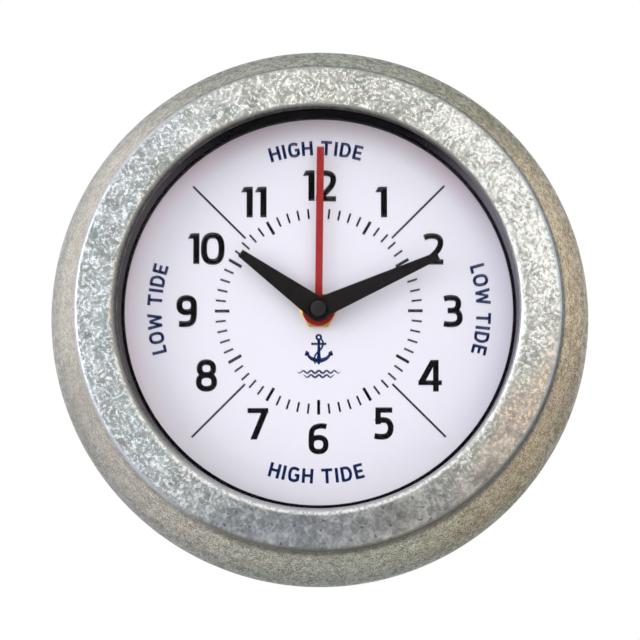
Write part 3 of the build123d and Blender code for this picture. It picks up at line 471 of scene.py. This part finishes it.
# Painted light by side: a warm reflection at the right, shade further out on the right, at the top and at the
# bottom.
painted_side_tints = [
    (88, 0.1, 0.9, (0.95, 0.825, 0.64)),
    (92, 0.95, 1.2, (0.88, 0.88, 0.88)),
    (8, 0.5, 1.1, (0.46, 0.52, 0.48)),
    (165, 0.7, 1.15, (0.84, 0.9, 0.86)),
]
for clockwise, start, full, tint in painted_side_tints:
    colour = flank_zinc.mix(side_of(flank_zinc, clockwise, start, full), colour, tint, "MULTIPLY")
radius = from_axis(flank_zinc)
# Painted shade: the flank grows darker and bluer towards the rim.
rim_shade = flank_zinc.between(radius, rim_radius - 8.0 * MM, rim_radius - 0.5 * MM, 0.0, 0.9)
colour = flank_zinc.mix(rim_shade, colour, (0.62, 0.66, 0.72), "MULTIPLY")
# Painted shadow of the ring in the groove, strongest at the bottom.
groove = flank_zinc.between(radius, ring_radius + 2.2 * MM, ring_radius + 0.2 * MM)
colour = flank_zinc.mix(groove * side_of(flank_zinc, 150, -0.1, 0.8, 0.8), colour, (0.11, 0.108, 0.085))
# Painted shadow line along the ring's edge, widest at the top.
SHADOW_LINE_WIDTH, SHADOW_LINE_UNEVEN = 1.1 * MM, 0.9 * MM
outwards = radius - ring_radius - SHADOW_LINE_WIDTH - SHADOW_LINE_UNEVEN * towards(flank_zinc, 0)
edge_shadow_line = flank_zinc.between(outwards, 0.4 * MM, 0.0) * side_of(flank_zinc, 50, -0.3, 0.4, 0.75)
flank_zinc.set(Base_Color=flank_zinc.mix(edge_shadow_line, colour, (0.09, 0.095, 0.09)))
print("flank:", flank_zinc.material.name, len(flank_zinc.tree.nodes), "nodes")

# %% [markdown]
# The ring and the flank are spun from sheet on a lathe, so each is one outline carried round the axis. A Screw
# modifier would do it; a grid of points from numpy gives the same shape with the bends as round as they need
# to be. First comes the outline: straight runs with rounded corners, and one thickness of sheet.


# %% Outline of bent sheet
def bent_line(corners, radii, steps=10):
    """Points along straight runs joined by tangent arcs: at each corner, an arc of the given radius."""
    corners = np.asarray(corners, float)
    line = [corners[:1]]
    for before, corner, after, radius in zip(corners[:-2], corners[1:-1], corners[2:], radii):
        back = (before - corner) / np.linalg.norm(before - corner)
        on = (after - corner) / np.linalg.norm(after - corner)
        half = np.arccos(np.clip(back @ on, -1, 1)) / 2
        centre = corner + (back + on) / np.linalg.norm(back + on) * radius / np.sin(half)
        start = corner + back * radius / np.tan(half) - centre
        end = corner + on * radius / np.tan(half) - centre
        share = np.linspace(0, 1, steps)[:, None]
        turn = np.pi - 2 * half
        arc = (np.sin((1 - share) * turn) * start + np.sin(share * turn) * end) / np.sin(turn)
        line.append(centre + arc)
    line.append(corners[-1:])
    return np.concatenate(line)


def filled_in(line, longest):
    """The same line with extra points, so that no step is longer than the given length."""
    steps = np.linalg.norm(np.diff(line, axis=0), axis=1)
    counts = np.maximum(1, np.ceil(steps / longest).astype(int))
    which = np.repeat(np.arange(len(counts)), counts)
    firsts = np.repeat(np.cumsum(counts) - counts, counts)
    share = (np.arange(counts.sum()) - firsts) / np.repeat(counts, counts)
    inner = line[which] + (line[which + 1] - line[which]) * share[:, None]
    return np.concatenate([inner, line[-1:]])


def sheet_outline(corners, radii, thickness, longest):
    """Closed outline of bent sheet: the outside line, and back along a line one thickness to its left."""
    outside = filled_in(bent_line(corners, radii), longest)
    run = np.gradient(outside, axis=0)
    run /= np.linalg.norm(run, axis=1)[:, None]
    inside = outside + thickness * np.stack([-run[:, 1], run[:, 0]], axis=1)
    return np.concatenate([outside, inside[::-1]])


front = -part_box("bezel_ring")[0][1]
steel = 0.8 * MM
lip_back = front - 2.4 * MM
skirt_foot = front - 4.0 * MM
ring_line = [(ring_radius, skirt_foot), (ring_radius, front), (lip_radius, front), (lip_radius, lip_back)]
ring_outline = sheet_outline(ring_line, (1.8 * MM, 2.0 * MM), steel, 2.5 * MM)
print("ring outline:", len(ring_outline), "points")

# %% [markdown]
# Then the outline is carried round. Spinning leaves the ring not quite true, so its points waver by less than a
# tenth of a millimetre, which is what makes the reflections wander. In depth the waver only takes away, so that
# the ring never stands in front of its solid. In radius it goes both ways, by hundredths of a millimetre.


# %% Front ring
def grid_faces(rows, columns):
    """Quads between neighbouring points of a grid that closes on itself both ways."""
    row, column = np.meshgrid(np.arange(rows), np.arange(columns), indexing="ij")
    down, right = (row + 1) % rows, (column + 1) % columns
    corners = [row * columns + column, row * columns + right, down * columns + right, down * columns + column]
    return np.stack(corners, axis=-1).reshape(-1, 4)


def outward(points, faces):
    """The faces, turned over if the volume they enclose comes out negative."""
    first, second, third, last = (points[faces[:, index]] for index in range(4))
    volume = np.einsum("ij,ij->", first, np.cross(second, third))
    volume = volume + np.einsum("ij,ij->", first, np.cross(third, last))
    return faces if volume > 0 else faces[:, ::-1]


def new_piece(name, points, faces, finish, body, smooth=False):
    """A mesh object from arrays of points and quads, with its finish, riding on a body."""
    mesh = bpy.data.meshes.new(name)
    mesh.from_pydata(points.tolist(), [], outward(points, faces).tolist())
    mesh.polygons.foreach_set("use_smooth", np.full(len(faces), smooth))
    mesh.materials.append(finish.material)
    mesh.update()
    piece = bpy.data.objects.new(name, mesh)
    scene.collection.objects.link(piece)
    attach(piece, body)
    print(name, len(points), "points", len(faces), "faces")
    return piece


def spun(name, outline, turns, waver, finish, body):
    """An outline of (radius, forward) points carried round the axis: x = r sin a, y = -forward, z = r cos a,
    with a slow ripple in both, which in depth only takes away."""
    angle = np.linspace(0, 2 * np.pi, turns, endpoint=False)[:, None]
    radius, forward = outline[:, 0][None], outline[:, 1][None]
    ripple = np.sin(5 * angle + 0.6) + 0.7 * np.sin(11 * angle + 2.1) + 0.4 * np.sin(23 * angle)
    forward = forward + waver * (ripple - 2.1)
    radius = radius + waver * 0.6 * (np.sin(7 * angle + 1.3) - np.abs(np.sin(3 * angle)))
    points = np.stack([radius * np.sin(angle), -forward, radius * np.cos(angle)], axis=-1).reshape(-1, 3)
    return new_piece(name, points, grid_faces(turns, len(outline)), finish, body, True)


TURNS = 256
bezel = spun("front_ring", ring_outline, TURNS, 0.02 * MM, ring_zinc, "case")
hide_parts("bezel_ring")

# %% [markdown]
# The flank runs straight out from the neck and rolls over into an upright rim with a hem folded inside it.
# It is spun in the same way, but without the waver.

# %% Flank
neck_radius = ring_radius - 0.85 * MM
neck_level = front - 5.0 * MM
FLANK_ANGLE = np.radians(28.0)
shoulder_level = neck_level - (rim_radius - neck_radius) / np.tan(FLANK_ANGLE)
hem_radius, hem_depth = rim_radius - 2 * steel, 6.0 * MM
tuck_level, tuck_width = front - steel - 0.02 * MM, 9.0 * MM
flank_line = [
    (hem_radius, hem_depth),
    (hem_radius, 0.0),
    (rim_radius, 0.0),
    (rim_radius, shoulder_level),
    (neck_radius, neck_level),
    (neck_radius, tuck_level),
    (neck_radius - tuck_width, tuck_level),
]
flank_bends = (0.79 * MM, 0.79 * MM, 32.0 * MM, 1.6 * MM, 1.6 * MM)
flank_outline = sheet_outline(flank_line, flank_bends, steel * 0.98, 4.0 * MM)
flank = spun("case_flank", flank_outline, TURNS, 0.0, flank_zinc, "case")
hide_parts("case_shell")

# %% [markdown]
# The other pieces keep their solid shapes and take a finish. Moulded plastic is not quite smooth: it has the
# fine grain of the mould and a slight mottle in its gloss. One function makes such a finish from a colour, a
# gloss and the size and depth of the grain, so a table of them is enough.

# %% Moulded and painted finishes
MOTTLES = 60.0  # to a metre
PLAIN_SPECULAR = 0.5


def moulded(name, colour, roughness, grain, depth, mottle, specular=PLAIN_SPECULAR):
    """Plastic or paint: noise a grain across varies colour and gloss and lifts the surface by depth. Grain and
    depth are in millimetres."""
    finish = Finish(name, Specular_IOR_Level=specular)
    fine = finish.noise(1.0 / (grain * MM), 3.0)
    broad = finish.noise(MOTTLES, 3.0)
    lighter = tuple(min(1.0, part * (1 + mottle) + 0.004) for part in colour)
    darker = tuple(part * (1 - mottle) for part in colour)
    finish.colour = finish.mix(0.6 * broad + 0.4 * fine, darker, lighter)
    gloss = roughness * (0.85 + 0.3 * broad)
    return finish.set(Base_Color=finish.colour, Roughness=gloss, Normal=finish.bump(fine, depth * MM))


finishes = {
    "white_dial": moulded("dial_white", (0.865, 0.85, 0.937), 0.6, 0.35, 0.004, 0.012),
    "black_gloss_plastic": moulded("surround_black", (0.003, 0.0025, 0.0035), 0.25, 0.6, 0.003, 0.2, 0.0),
    "black_matte_plastic": moulded("cover_black", (0.022, 0.022, 0.024), 0.55, 0.5, 0.03, 0.25),
    "black_paint": moulded("hand_black", (0.0085, 0.006, 0.0065), 0.42, 0.3, 0.004, 0.2, 0.05),
    "red_paint": moulded("hand_red", (0.36, 0.022, 0.022), 0.45, 0.4, 0.004, 0.08, 0.12),
    "dark_cap": moulded("cap_dark", (0.022, 0.018, 0.02), 0.3, 0.2, 0.002, 0.2, 0.05),
    "rubber": moulded("gasket_rubber", (0.006, 0.006, 0.006), 0.8, 0.4, 0.02, 0.2, 0.1),
    "movement_plastic": moulded("movement_black", (0.028, 0.028, 0.03), 0.5, 0.4, 0.02, 0.2),
    "plate_plastic": moulded("plate_ivory", (0.7, 0.68, 0.6), 0.5, 0.5, 0.008, 0.04),
    "acetal": moulded("wheel_acetal", (0.82, 0.81, 0.76), 0.4, 0.4, 0.004, 0.04),
    "black_epoxy": moulded("chip_epoxy", (0.02, 0.02, 0.02), 0.45, 0.2, 0.01, 0.25),
    "fibreboard": moulded("backing_board", (0.3, 0.19, 0.1), 0.85, 0.7, 0.03, 0.25),
    "board_laminate": moulded("board_green", (0.03, 0.14, 0.06), 0.4, 0.5, 0.006, 0.15),
    "battery_wrap": moulded("battery_blue", (0.035, 0.12, 0.3), 0.35, 0.8, 0.002, 0.1),
}
print("moulded finishes:", len(finishes))

# %% [markdown]
# The white of the dial is painted unevenly towards its edge: painted shade, greyer and warm, at its top, a
# painted warm cast in the shade of its left edge, a painted violet shade at its right, and painted light,
# lighter and cooler, at its foot. The surround has a black ledge round the dial, and a wall behind it with a
# painted grey sheen at its sides that is lost at the top, under the ring. All of these are soft, so their sides
# are taken without a ragged edge.


# %% Edge of the dial and its surround
def soft_side(finish, clockwise, start, full):
    """One side of the clock with a smooth edge."""
    return side_of(finish, clockwise, start, full, 1.0, 0.0)


dial_white = finishes["white_dial"]
near_edge = dial_white.between(from_axis(dial_white), 67 * MM, 78 * MM)
# Painted shade near the edge: darker and warm at the top, warm on the left, violet on the right.
edge_shade_tints = [
    (8, 0.3, 0.75, (0.8, 0.71, 0.72)),
    (275, 0.2, 0.7, (1.06, 0.96, 0.965)),
    (95, 0.2, 0.8, (0.95, 0.925, 0.985)),
]
colour = dial_white.colour
for clockwise, start, full, tint in edge_shade_tints:
    share = near_edge * soft_side(dial_white, clockwise, start, full)
    colour = dial_white.mix(share, colour, tint, "MULTIPLY")
# Painted light: lighter and cooler near the foot of the dial.
lit_foot = near_edge * soft_side(dial_white, 180, 0.2, 0.8)
dial_white.set(Base_Color=dial_white.mix(lit_foot, colour, (0.95, 0.935, 1.0)))
surround_black = finishes["black_gloss_plastic"]
# Painted reflection: a grey sheen on the wall, lighter on the right, with painted shade taking it away at the
# top.
wall = surround_black.between(from_axis(surround_black), 79.25 * MM, 79.4 * MM)
overhung = soft_side(surround_black, 0, 0.45, 0.82)
right_half = soft_side(surround_black, 90, 0.2, 0.85)
sheen = surround_black.mix(right_half, (0.1, 0.088, 0.1), (0.17, 0.155, 0.195))
surround_black.set(Base_Color=surround_black.mix(wall * (1.0 - overhung), surround_black.colour, sheen))
print("dial edge:", len(edge_shade_tints) + 1, "tints, and a sheen on the surround")

# %% [markdown]
# The cap that holds the hands is turned: its flat top is lighter, with a fine painted highlight ring, and its
# edge and the hub under it are painted black as shade. The red hub lies in their shadow, painted into it as a
# deeper tone. They are all round, so the distance from the axis is enough to tell them apart.

# %% Cap and hubs
cap_dark, red_paint, hand_black = finishes["dark_cap"], finishes["red_paint"], finishes["black_paint"]
SHADE_BLACK = (0.001, 0.001, 0.001)
radius = from_axis(cap_dark)
# Painted shade on the cap's edge, and a painted highlight ring on its flat top.
flat_top = cap_dark.between(radius, 3.05 * MM, 2.8 * MM)
cap_highlight = cap_dark.between(radius, 2.4 * MM, 2.7 * MM) * flat_top
colour = cap_dark.mix(flat_top, SHADE_BLACK, cap_dark.colour)
cap_dark.set(Base_Color=cap_dark.mix(cap_highlight, colour, (0.055, 0.05, 0.056)))
# Painted shadow on the red hub, as a deeper tone.
on_hub = red_paint.between(from_axis(red_paint), 11.0 * MM, 8.0 * MM)
red_paint.set(Base_Color=red_paint.mix(on_hub, red_paint.colour, (0.85, 0.45, 0.5), "MULTIPLY"))
# Painted shadow of the cap on the hub of the black hands.
shadow_under_cap = hand_black.between(from_axis(hand_black), 4.5 * MM, 4.0 * MM)
hand_black.set(Base_Color=hand_black.mix(shadow_under_cap, hand_black.colour, SHADE_BLACK))
print("cap and hubs shaded")

# %% [markdown]
# Brass, zinc plate, nickel, copper and the motor's iron and magnet are plain metals. Turning, rolling or
# drawing leaves fine lines on most of them, so noise that can be stretched along an axis varies their gloss
# and lifts the surface a little.

# %% Bare metals
METAL_LINES, METAL_STAINS = 900.0, 120.0  # to a metre
TARNISH_TINT = (0.92, 0.9, 0.86)


def drawn_metal(name, colour, roughness, stretch, depth=0.002, tarnish=0.15):
    """Metal with fine lines: noise stretched by the given factors along X, Y and Z, in relief by a depth in
    millimetres."""
    metal = Finish(name, Metallic=1.0)
    lines = metal.node("ShaderNodeMapping", None, {"Vector": metal.place, "Scale": stretch})
    fine = metal.noise(METAL_LINES, 3.0, lines)
    broad = metal.noise(METAL_STAINS, 3.0)
    dull = tuple(part * (1 - tarnish) * shade for part, shade in zip(colour, TARNISH_TINT))
    tint = metal.mix(broad, colour, dull)
    gloss = roughness + 0.25 * roughness * (fine - 0.5) + 0.1 * broad
    return metal.set(Base_Color=tint, Roughness=gloss, Normal=metal.bump(fine, depth * MM))


finishes.update({
    "brass": drawn_metal("nut_brass", (0.72, 0.41, 0.055), 0.3, (1.0, 6.0, 1.0), 0.004, 0.45),
    "zinc_screws": drawn_metal("screw_zinc", (0.66, 0.66, 0.64), 0.3, (3.0, 1.0, 1.0)),
    "nickel": drawn_metal("contact_nickel", (0.66, 0.63, 0.57), 0.25, (1.0, 1.0, 5.0)),
    "soft_iron": drawn_metal("stator_iron", (0.5, 0.5, 0.5), 0.4, (5.0, 1.0, 1.0)),
    "copper_wire": drawn_metal("winding_copper", (0.72, 0.3, 0.13), 0.3, (0.3, 0.3, 9.0), 0.02),
    "magnet": drawn_metal("rotor_magnet_grey", (0.3, 0.3, 0.31), 0.4, (1.0, 1.0, 1.0)),
})
print("finishes:", len(finishes))

# %% [markdown]
# The glass is a flat disc of clear float glass. A fully transmitting shader would hide the dial behind noise,
# so the pane is mostly let through by its alpha, and only its gloss and a breath of green remain. Slight
# smears vary that alpha. Then every piece of the solid model takes the finish of its material slot.

# %% Glass, and a finish for every solid
SMEARS = 22.0  # to a metre
pane = Finish("pane_glass", Base_Color=(0.95, 0.99, 0.97), Roughness=0.03, IOR=1.5, Transmission_Weight=1.0)
pane.set(Alpha=0.04 + 0.04 * pane.noise(SMEARS, 4.0))
finishes["glass"] = pane
finishes["galvanised_steel"] = flank_zinc
for subpart in frame["record"]["subparts"]:
    mesh = frame["nodes"][subpart["node"]].data
    mesh.materials.clear()
    mesh.materials.append(finishes[subpart["material_slot"]].material)

# %% [markdown]
# The dial is printed: every figure is ink of one thickness drawn with an even pen. Text objects could be used,
# but no typeface that comes with Blender has these squarish figures. So each figure is a few pen strokes, and
# a stroke is known by its left and right edge.


# %% Pen strokes
def smooth(knots, steps=8):
    """A Catmull-Rom curve: between two knots, the cubic whose end slopes are half the step between
    neighbours."""
    knots = np.asarray(knots, float)
    row = np.concatenate([2 * knots[:1] - knots[1:2], knots, 2 * knots[-1:] - knots[-2:-1]])
    a, b, c, d = (row[first:first + len(row) - 3, None] for first in range(4))
    t = np.linspace(0, 1, steps, endpoint=False)[None, :, None]
    curve = 0.5 * (2 * b + (c - a) * t + (2 * a - 5 * b + 4 * c - d) * t**2 + (3 * b - a - 3 * c + d) * t**3)
    return np.concatenate([curve.reshape(-1, 2), knots[-1:]])


def loop(centre, half_width, half_height, power, steps=48):
    """A squarish ring: the points where |x / a| ** n + |y / b| ** n is 1."""
    turn = np.linspace(0, 2 * np.pi, steps, endpoint=False)
    round_way = np.stack([np.cos(turn), np.sin(turn)], axis=1)
    squarish = np.sign(round_way) * np.abs(round_way) ** (2 / power)
    return np.asarray(centre) + squarish * (half_width, half_height)


def pen(line, width, closed=False):
    """Left and right edge of a stroke: half a width to either side of its line."""
    line = np.asarray(line, float)
    run = np.roll(line, -1, 0) - np.roll(line, 1, 0) if closed else np.gradient(line, axis=0)
    side = np.stack([-run[:, 1], run[:, 0]], axis=1) / np.linalg.norm(run, axis=1)[:, None]
    side = side * np.broadcast_to(width, len(line))[:, None] / 2
    return line + side, line - side, closed


def patch(a, b, c, d):
    """A four-cornered stroke between the edges a to d and b to c."""
    return np.array([a, d], float), np.array([b, c], float), False


def turned_and_moved(edges, scale, turn, place):
    """A stroke scaled, turned clockwise by an angle and moved on the dial."""
    spin = np.array([[np.cos(turn), -np.sin(turn)], [np.sin(turn), np.cos(turn)]])
    left, right, closed = edges
    return left * scale @ spin + place, right * scale @ spin + place, closed


print("pen: curves, rings, strokes and patches")

# %% [markdown]
# Ink is a thin rectangle carried along a stroke. It could be painted into the dial's material; as a piece of
# its own it has a clean edge from near by too. Ink that crosses other ink is a hair higher, so that no two
# faces lie in one plane.

# %% Ink
dial_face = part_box("dial_plate")[0][1]
INK_SUNK, INK_HIGH, INK_STEP = 0.01 * MM, 0.02 * MM, 0.004 * MM


def band(edges, layer):
    """Points and faces of one stroke of ink: four corners at every step along it, closed at both ends."""
    left, right, closed = edges
    top = np.full(len(left), dial_face - INK_HIGH - INK_STEP * layer)
    bottom = np.full(len(left), dial_face + INK_SUNK)
    rims = [(left, top), (right, top), (right, bottom), (left, bottom)]
    points = np.stack([np.stack([rim[:, 0], level, rim[:, 1]], axis=1) for rim, level in rims], axis=1)
    faces = grid_faces(len(left), 4)
    if not closed:
        end = 4 * (len(left) - 1)
        faces = np.concatenate([faces[:end], [[3, 2, 1, 0], [end, end + 1, end + 2, end + 3]]])
    points = points.reshape(-1, 3)
    return points, outward(points, faces)


def inked(name, strokes, finish):
    """One printed piece out of many strokes, each with its layer."""
    made = [band(edges, layer) for edges, layer in strokes]
    starts = np.cumsum([0] + [len(points) for points, _ in made[:-1]])
    points = np.concatenate([points for points, _ in made])
    faces = np.concatenate([faces + start for (_, faces), start in zip(made, starts)])
    return new_piece(name, points, faces, finish, "case")


black_ink = moulded("ink_black", (0.0026, 0.0016, 0.0024), 0.5, 0.25, 0.003, 0.25, 0.02)
grey_ink = moulded("ink_grey", (0.006, 0.003, 0.003), 0.5, 0.25, 0.003, 0.2, 0.02)
navy_ink = moulded("ink_navy", (0.002, 0.012, 0.085), 0.5, 0.25, 0.003, 0.25, 0.02)
print("dial face at", round(dial_face, 6))

# %% [markdown]
# The hour figures stand upright, each about 12.6 mm high with a pen 2.3 mm wide. Their strokes are drawn on a
# field of about 252 steps in height, centred on the figure, with curves through a few knots and squarish rings
# for bowls.

# %% Hour figures
BOLD, BAR, STEM = 46, 43, 50
digits = {
    "0": [pen(loop((0, 4), 71, 107, 2.6), BOLD + 3, True)],
    "1": [pen([(17, 130), (17, -120)], STEM), patch((-30, 127), (-53, 83), (4, 86), (4, 130))],
    "2": [
        pen(smooth([
            (-72, 92), (-42, 103), (-8, 106), (28, 100), (53, 80), (59, 50), (50, 16), (25, -22), (-57, -104),
        ]), BOLD),
        pen([(-81, -104), (81, -104)], BAR),
    ],
    "3": [
        pen(smooth([
            (-73, 98), (-43, 105), (-10, 106), (22, 99), (40, 76), (40, 44), (24, 14), (-4, 4), (-45, 4),
        ]), BOLD),
        pen(smooth([
            (-10, 4), (20, 0), (45, -20), (53, -54), (45, -85), (20, -103), (-12, -108), (-45, -107),
            (-76, -102),
        ]), BOLD),
    ],
    "4": [
        pen([(46, 127), (46, -127)], STEM - 5),
        patch((4, 127), (56, 127), (-40, -48), (-94, -48)),
        pen([(-94, -56), (94, -56)], BAR - 4),
    ],
    "5": [
        pen([(-64, 105), (70, 105)], BAR),
        pen([(-43, 118), (-43, -8)], BAR),
        pen(smooth([
            (-62, 8), (-32, 22), (0, 26), (34, 16), (54, -12), (57, -46), (46, -82), (20, -103), (-14, -108),
            (-45, -106), (-72, -101),
        ]), BOLD),
    ],
    "6": [
        pen(smooth([(60, 97), (35, 102), (2, 101), (-34, 89), (-56, 60), (-61, 16), (-61, -44)]), BOLD - 3),
        pen(loop((-3, -46), 58, 56, 2.4), BOLD - 3, True),
    ],
    "7": [pen([(-85, 106), (81, 106)], BAR - 2), patch((28, 100), (81, 100), (-10, -125), (-63, -125))],
    "8": [pen(loop((-4, 55), 55, 51, 2.3), BOLD, True), pen(loop((-3, -53), 62, 55, 2.3), BOLD, True)],
    "9": [
        pen(loop((-6, 49), 58, 57, 2.4), BOLD + 3, True),
        pen(smooth([
            (53, 48), (53, 0), (51, -46), (40, -82), (14, -100), (-25, -104), (-67, -102),
        ]), BOLD + 3),
    ],
}
print("digits:", len(digits))

# %% [markdown]
# The figures do not stand exactly on a circle, so each has its own place, to the right of the axis and above it
# in millimetres. The two digits of a figure stand to either side of that place.

# %% Figures round the dial
pairs = {"10": (-97, 52), "11": (-50, 61), "12": (-81, 53)}
hour_places = [
    (25.5, 43.7), (46.1, 24.7), (54.0, -0.4), (44.6, -26.5), (25.9, -45.5), (0.1, -51.7),
    (-24.2, -45.7), (-44.8, -26.2), (-52.8, -0.3), (-45.3, 24.9), (-26.2, 43.8), (0.3, 50.5),
]
FIGURE_STEP, FIGURE_RISE = 0.0501 * MM, 0.27 * MM
strokes = []
for hour, (right, up) in enumerate(hour_places, start=1):
    figure = str(hour)
    for digit, aside in zip(figure, pairs.get(figure, (0,))):
        place = np.array([right * MM + aside * FIGURE_STEP, up * MM + FIGURE_RISE])
        for layer, edges in enumerate(digits[digit]):
            strokes.append((turned_and_moved(edges, FIGURE_STEP, 0.0, place), layer))
inked("hour_figures", strokes, black_ink)

# %% [markdown]
# The minute track is a ring of short ticks, longer and bolder at the hours. Four thin lines cut the outer dial
# into quarters between high and low tide. They are all spokes, so one array of angles makes each set.


# %% Minute track and quarter lines
def spokes(angles, inner, outer, width):
    """Strokes that point outwards at the given clockwise angles, between two radii in millimetres."""
    ends = np.array([[0.0, inner], [0.0, outer]])
    return [(turned_and_moved(pen(ends, width), MM, turn, (0.0, 0.0)), 0) for turn in angles]


minutes = np.radians(np.arange(60) * 6.0)
inked("minute_ticks", spokes(minutes[np.arange(60) % 5 > 0], 37.5, 41.6, 0.8), grey_ink)
inked("hour_ticks", spokes(minutes[::5], 35.85, 41.75, 1.2), black_ink)
inked("quarter_lines", spokes(np.radians([45, 135, 225, 315]), 41.7, 71.8, 0.83), black_ink)

# %% [markdown]
# The words for high and low tide run round the edge in dark blue capitals, 5.85 mm high. A letter is drawn on a
# field of 100 steps with its foot at 0, and is kept with its width. The space between words counts as one too.

# %% Capitals
THIN = 21
LOW, TOP, MID = 8.5, 91.5, 50.0
LETTER_GAP, WORD_GAP = 19, 58
letters = {
    " ": (WORD_GAP - 2 * LETTER_GAP, []),
    "H": (72, [
        pen([(-27.5, 0), (-27.5, 100)], THIN),
        pen([(27.5, 0), (27.5, 100)], THIN),
        pen([(-27, 52), (27, 52)], THIN - 2),
    ]),
    "I": (THIN, [pen([(0, 0), (0, 100)], THIN)]),
    "G": (76, [
        pen(smooth([
            (30, 82), (14, 90), (-4, 92), (-22, 83), (-29, 50), (-22, 17), (-2, 8), (16, 10), (29, 18),
        ]), THIN),
        pen([(29, 12), (29, 54)], THIN),
        pen([(6, 47), (37, 47)], THIN - 2),
    ]),
    "T": (74, [pen([(-38, TOP), (38, TOP)], THIN - 1), pen([(0, 0), (0, 95)], THIN)]),
    "D": (74, [
        pen([(-28, 0), (-28, 100)], THIN),
        pen(smooth([(-28, TOP), (-4, TOP), (16, 84), (28, 50), (16, 16), (-4, LOW), (-28, LOW)]), THIN - 1),
    ]),
    "E": (58, [
        pen([(-20.5, 0), (-20.5, 100)], THIN),
        pen([(-20, TOP), (31, TOP)], THIN - 1),
        pen([(-20, MID), (26, MID)], THIN - 2),
        pen([(-20, LOW), (31, LOW)], THIN - 1),
    ]),
    "L": (50, [pen([(-16.5, 0), (-16.5, 100)], THIN), pen([(-16, LOW), (27, LOW)], THIN - 1)]),
    "O": (80, [pen(loop((0, 50), 31.5, 42, 2.5), THIN, True)]),
    "W": (108, [
        patch((-56, 100), (-34.5, 100), (-16.5, 0), (-36.5, 0)),
        patch((-16.5, 0), (-36.5, 0), (-10.5, 88), (6.5, 88)),
        patch((16.5, 0), (36.5, 0), (10.5, 88), (-6.5, 88)),
        patch((56, 100), (34.5, 100), (16.5, 0), (36.5, 0)),
    ]),
}
print("letters and space:", len(letters))

# %% [markdown]
# A word could be bent by a Curve modifier, which would stretch the letters. Here each letter stays as it is and
# is set on the circle with its middle at its own angle, as a printer would set it.

# %% Words round the edge
CAPITAL, WORD_RADIUS = 5.85 * MM / 100, 65.8 * MM


def words_on_circle(words, middle, foot_radius, facing_in=False):
    """Strokes of words whose middle is at a clockwise angle, with their feet at a radius and their tops
    outwards, or inwards at the bottom."""
    widths = np.array([letters[letter][0] for letter in words])
    starts = np.concatenate([[0], np.cumsum(widths + LETTER_GAP)[:-1]])
    middles = starts + widths / 2 - (starts[-1] + widths[-1]) / 2
    along = middles * CAPITAL / WORD_RADIUS * (-1 if facing_in else 1)
    strokes = []
    for letter, angle in zip(words, np.radians(middle) + along):
        turn = angle + np.pi if facing_in else angle
        foot = foot_radius * np.array([np.sin(angle), np.cos(angle)])
        for layer, edges in enumerate(letters[letter][1]):
            strokes.append((turned_and_moved(edges, CAPITAL, turn, foot), layer))
    return strokes


inked("high_tide_top", words_on_circle("HIGH TIDE", -1.05, 63.4 * MM), navy_ink)
inked("high_tide_bottom", words_on_circle("HIGH TIDE", 180.85, 69.3 * MM, True), navy_ink)
inked("low_tide_right", words_on_circle("LOW TIDE", 89.5, 63.25 * MM), navy_ink)
inked("low_tide_left", words_on_circle("LOW TIDE", 270.75, 63.05 * MM), navy_ink)

# %% [markdown]
# Under the hands is a small anchor with a rope round its shank, and below it two lines of waves. Both are old
# sea-chart ornaments. Their strokes swell and thin, so the pen's width is given at every knot.


# %% Anchor and waves
def swelling(knots, widths):
    """A curve through knots whose pen width goes evenly from each of the given widths to the next."""
    line = smooth(knots)
    share = np.linspace(0, len(widths) - 1, len(line))
    return pen(line, np.interp(share, np.arange(len(widths)), widths))


anchor = [
    pen(loop((0.05, -10.65), 0.92, 0.92, 2.0, 32), 0.88, True),
    swelling([(0.05, -11.5), (0.06, -14.5), (0.07, -17.5), (0.08, -19.6)], (1.2, 1.1, 1.25, 1.9)),
    swelling(
        [(-3.0, -13.3), (-2.4, -13.3), (0.0, -13.3), (2.5, -13.3), (3.1, -13.3)],
        (0.7, 1.0, 0.85, 1.0, 0.7),
    ),
    swelling(
        [
            (-4.75, -16.7), (-4.1, -18.0), (-2.7, -19.3), (0.08, -20.1),
            (2.85, -19.3), (4.25, -18.0), (4.9, -16.7),
        ],
        (0.7, 1.05, 1.45, 1.9, 1.45, 1.05, 0.7),
    ),
    patch((-5.05, -15.95), (-5.75, -17.9), (-4.0, -18.3), (-3.7, -16.8)),
    patch((5.2, -15.95), (5.9, -17.9), (4.15, -18.3), (3.85, -16.8)),
    patch((-0.95, -20.3), (1.1, -20.3), (0.35, -21.6), (-0.2, -21.6)),
    swelling(
        [
            (0.75, -11.1), (1.55, -12.2), (1.75, -13.5), (1.05, -15.2),
            (-0.3, -16.6), (-1.35, -17.9), (-1.75, -19.6), (-1.45, -21.3),
        ],
        (0.6, 0.68, 0.72, 0.76, 0.76, 0.72, 0.68, 0.6),
    ),
]
WAVE_HIGH, WAVE_HALF_LENGTH, WAVE_WIDTH = 0.5, 1.55, 0.8
crest = np.linspace(-1, 1, 97)
for middle, half, low in ((0.08, 8.6, -24.6), (0.08, 6.2, -26.3)):
    height = low + WAVE_HIGH * np.cos(half * crest * np.pi / WAVE_HALF_LENGTH)
    wave = np.stack([middle + half * crest, height], axis=1)
    anchor.append(pen(wave, WAVE_WIDTH * np.sqrt(1.02 - crest**2)))
strokes = [((left * MM, right * MM, closed), layer) for layer, (left, right, closed) in enumerate(anchor)]
inked("anchor_and_waves", strokes, navy_ink)
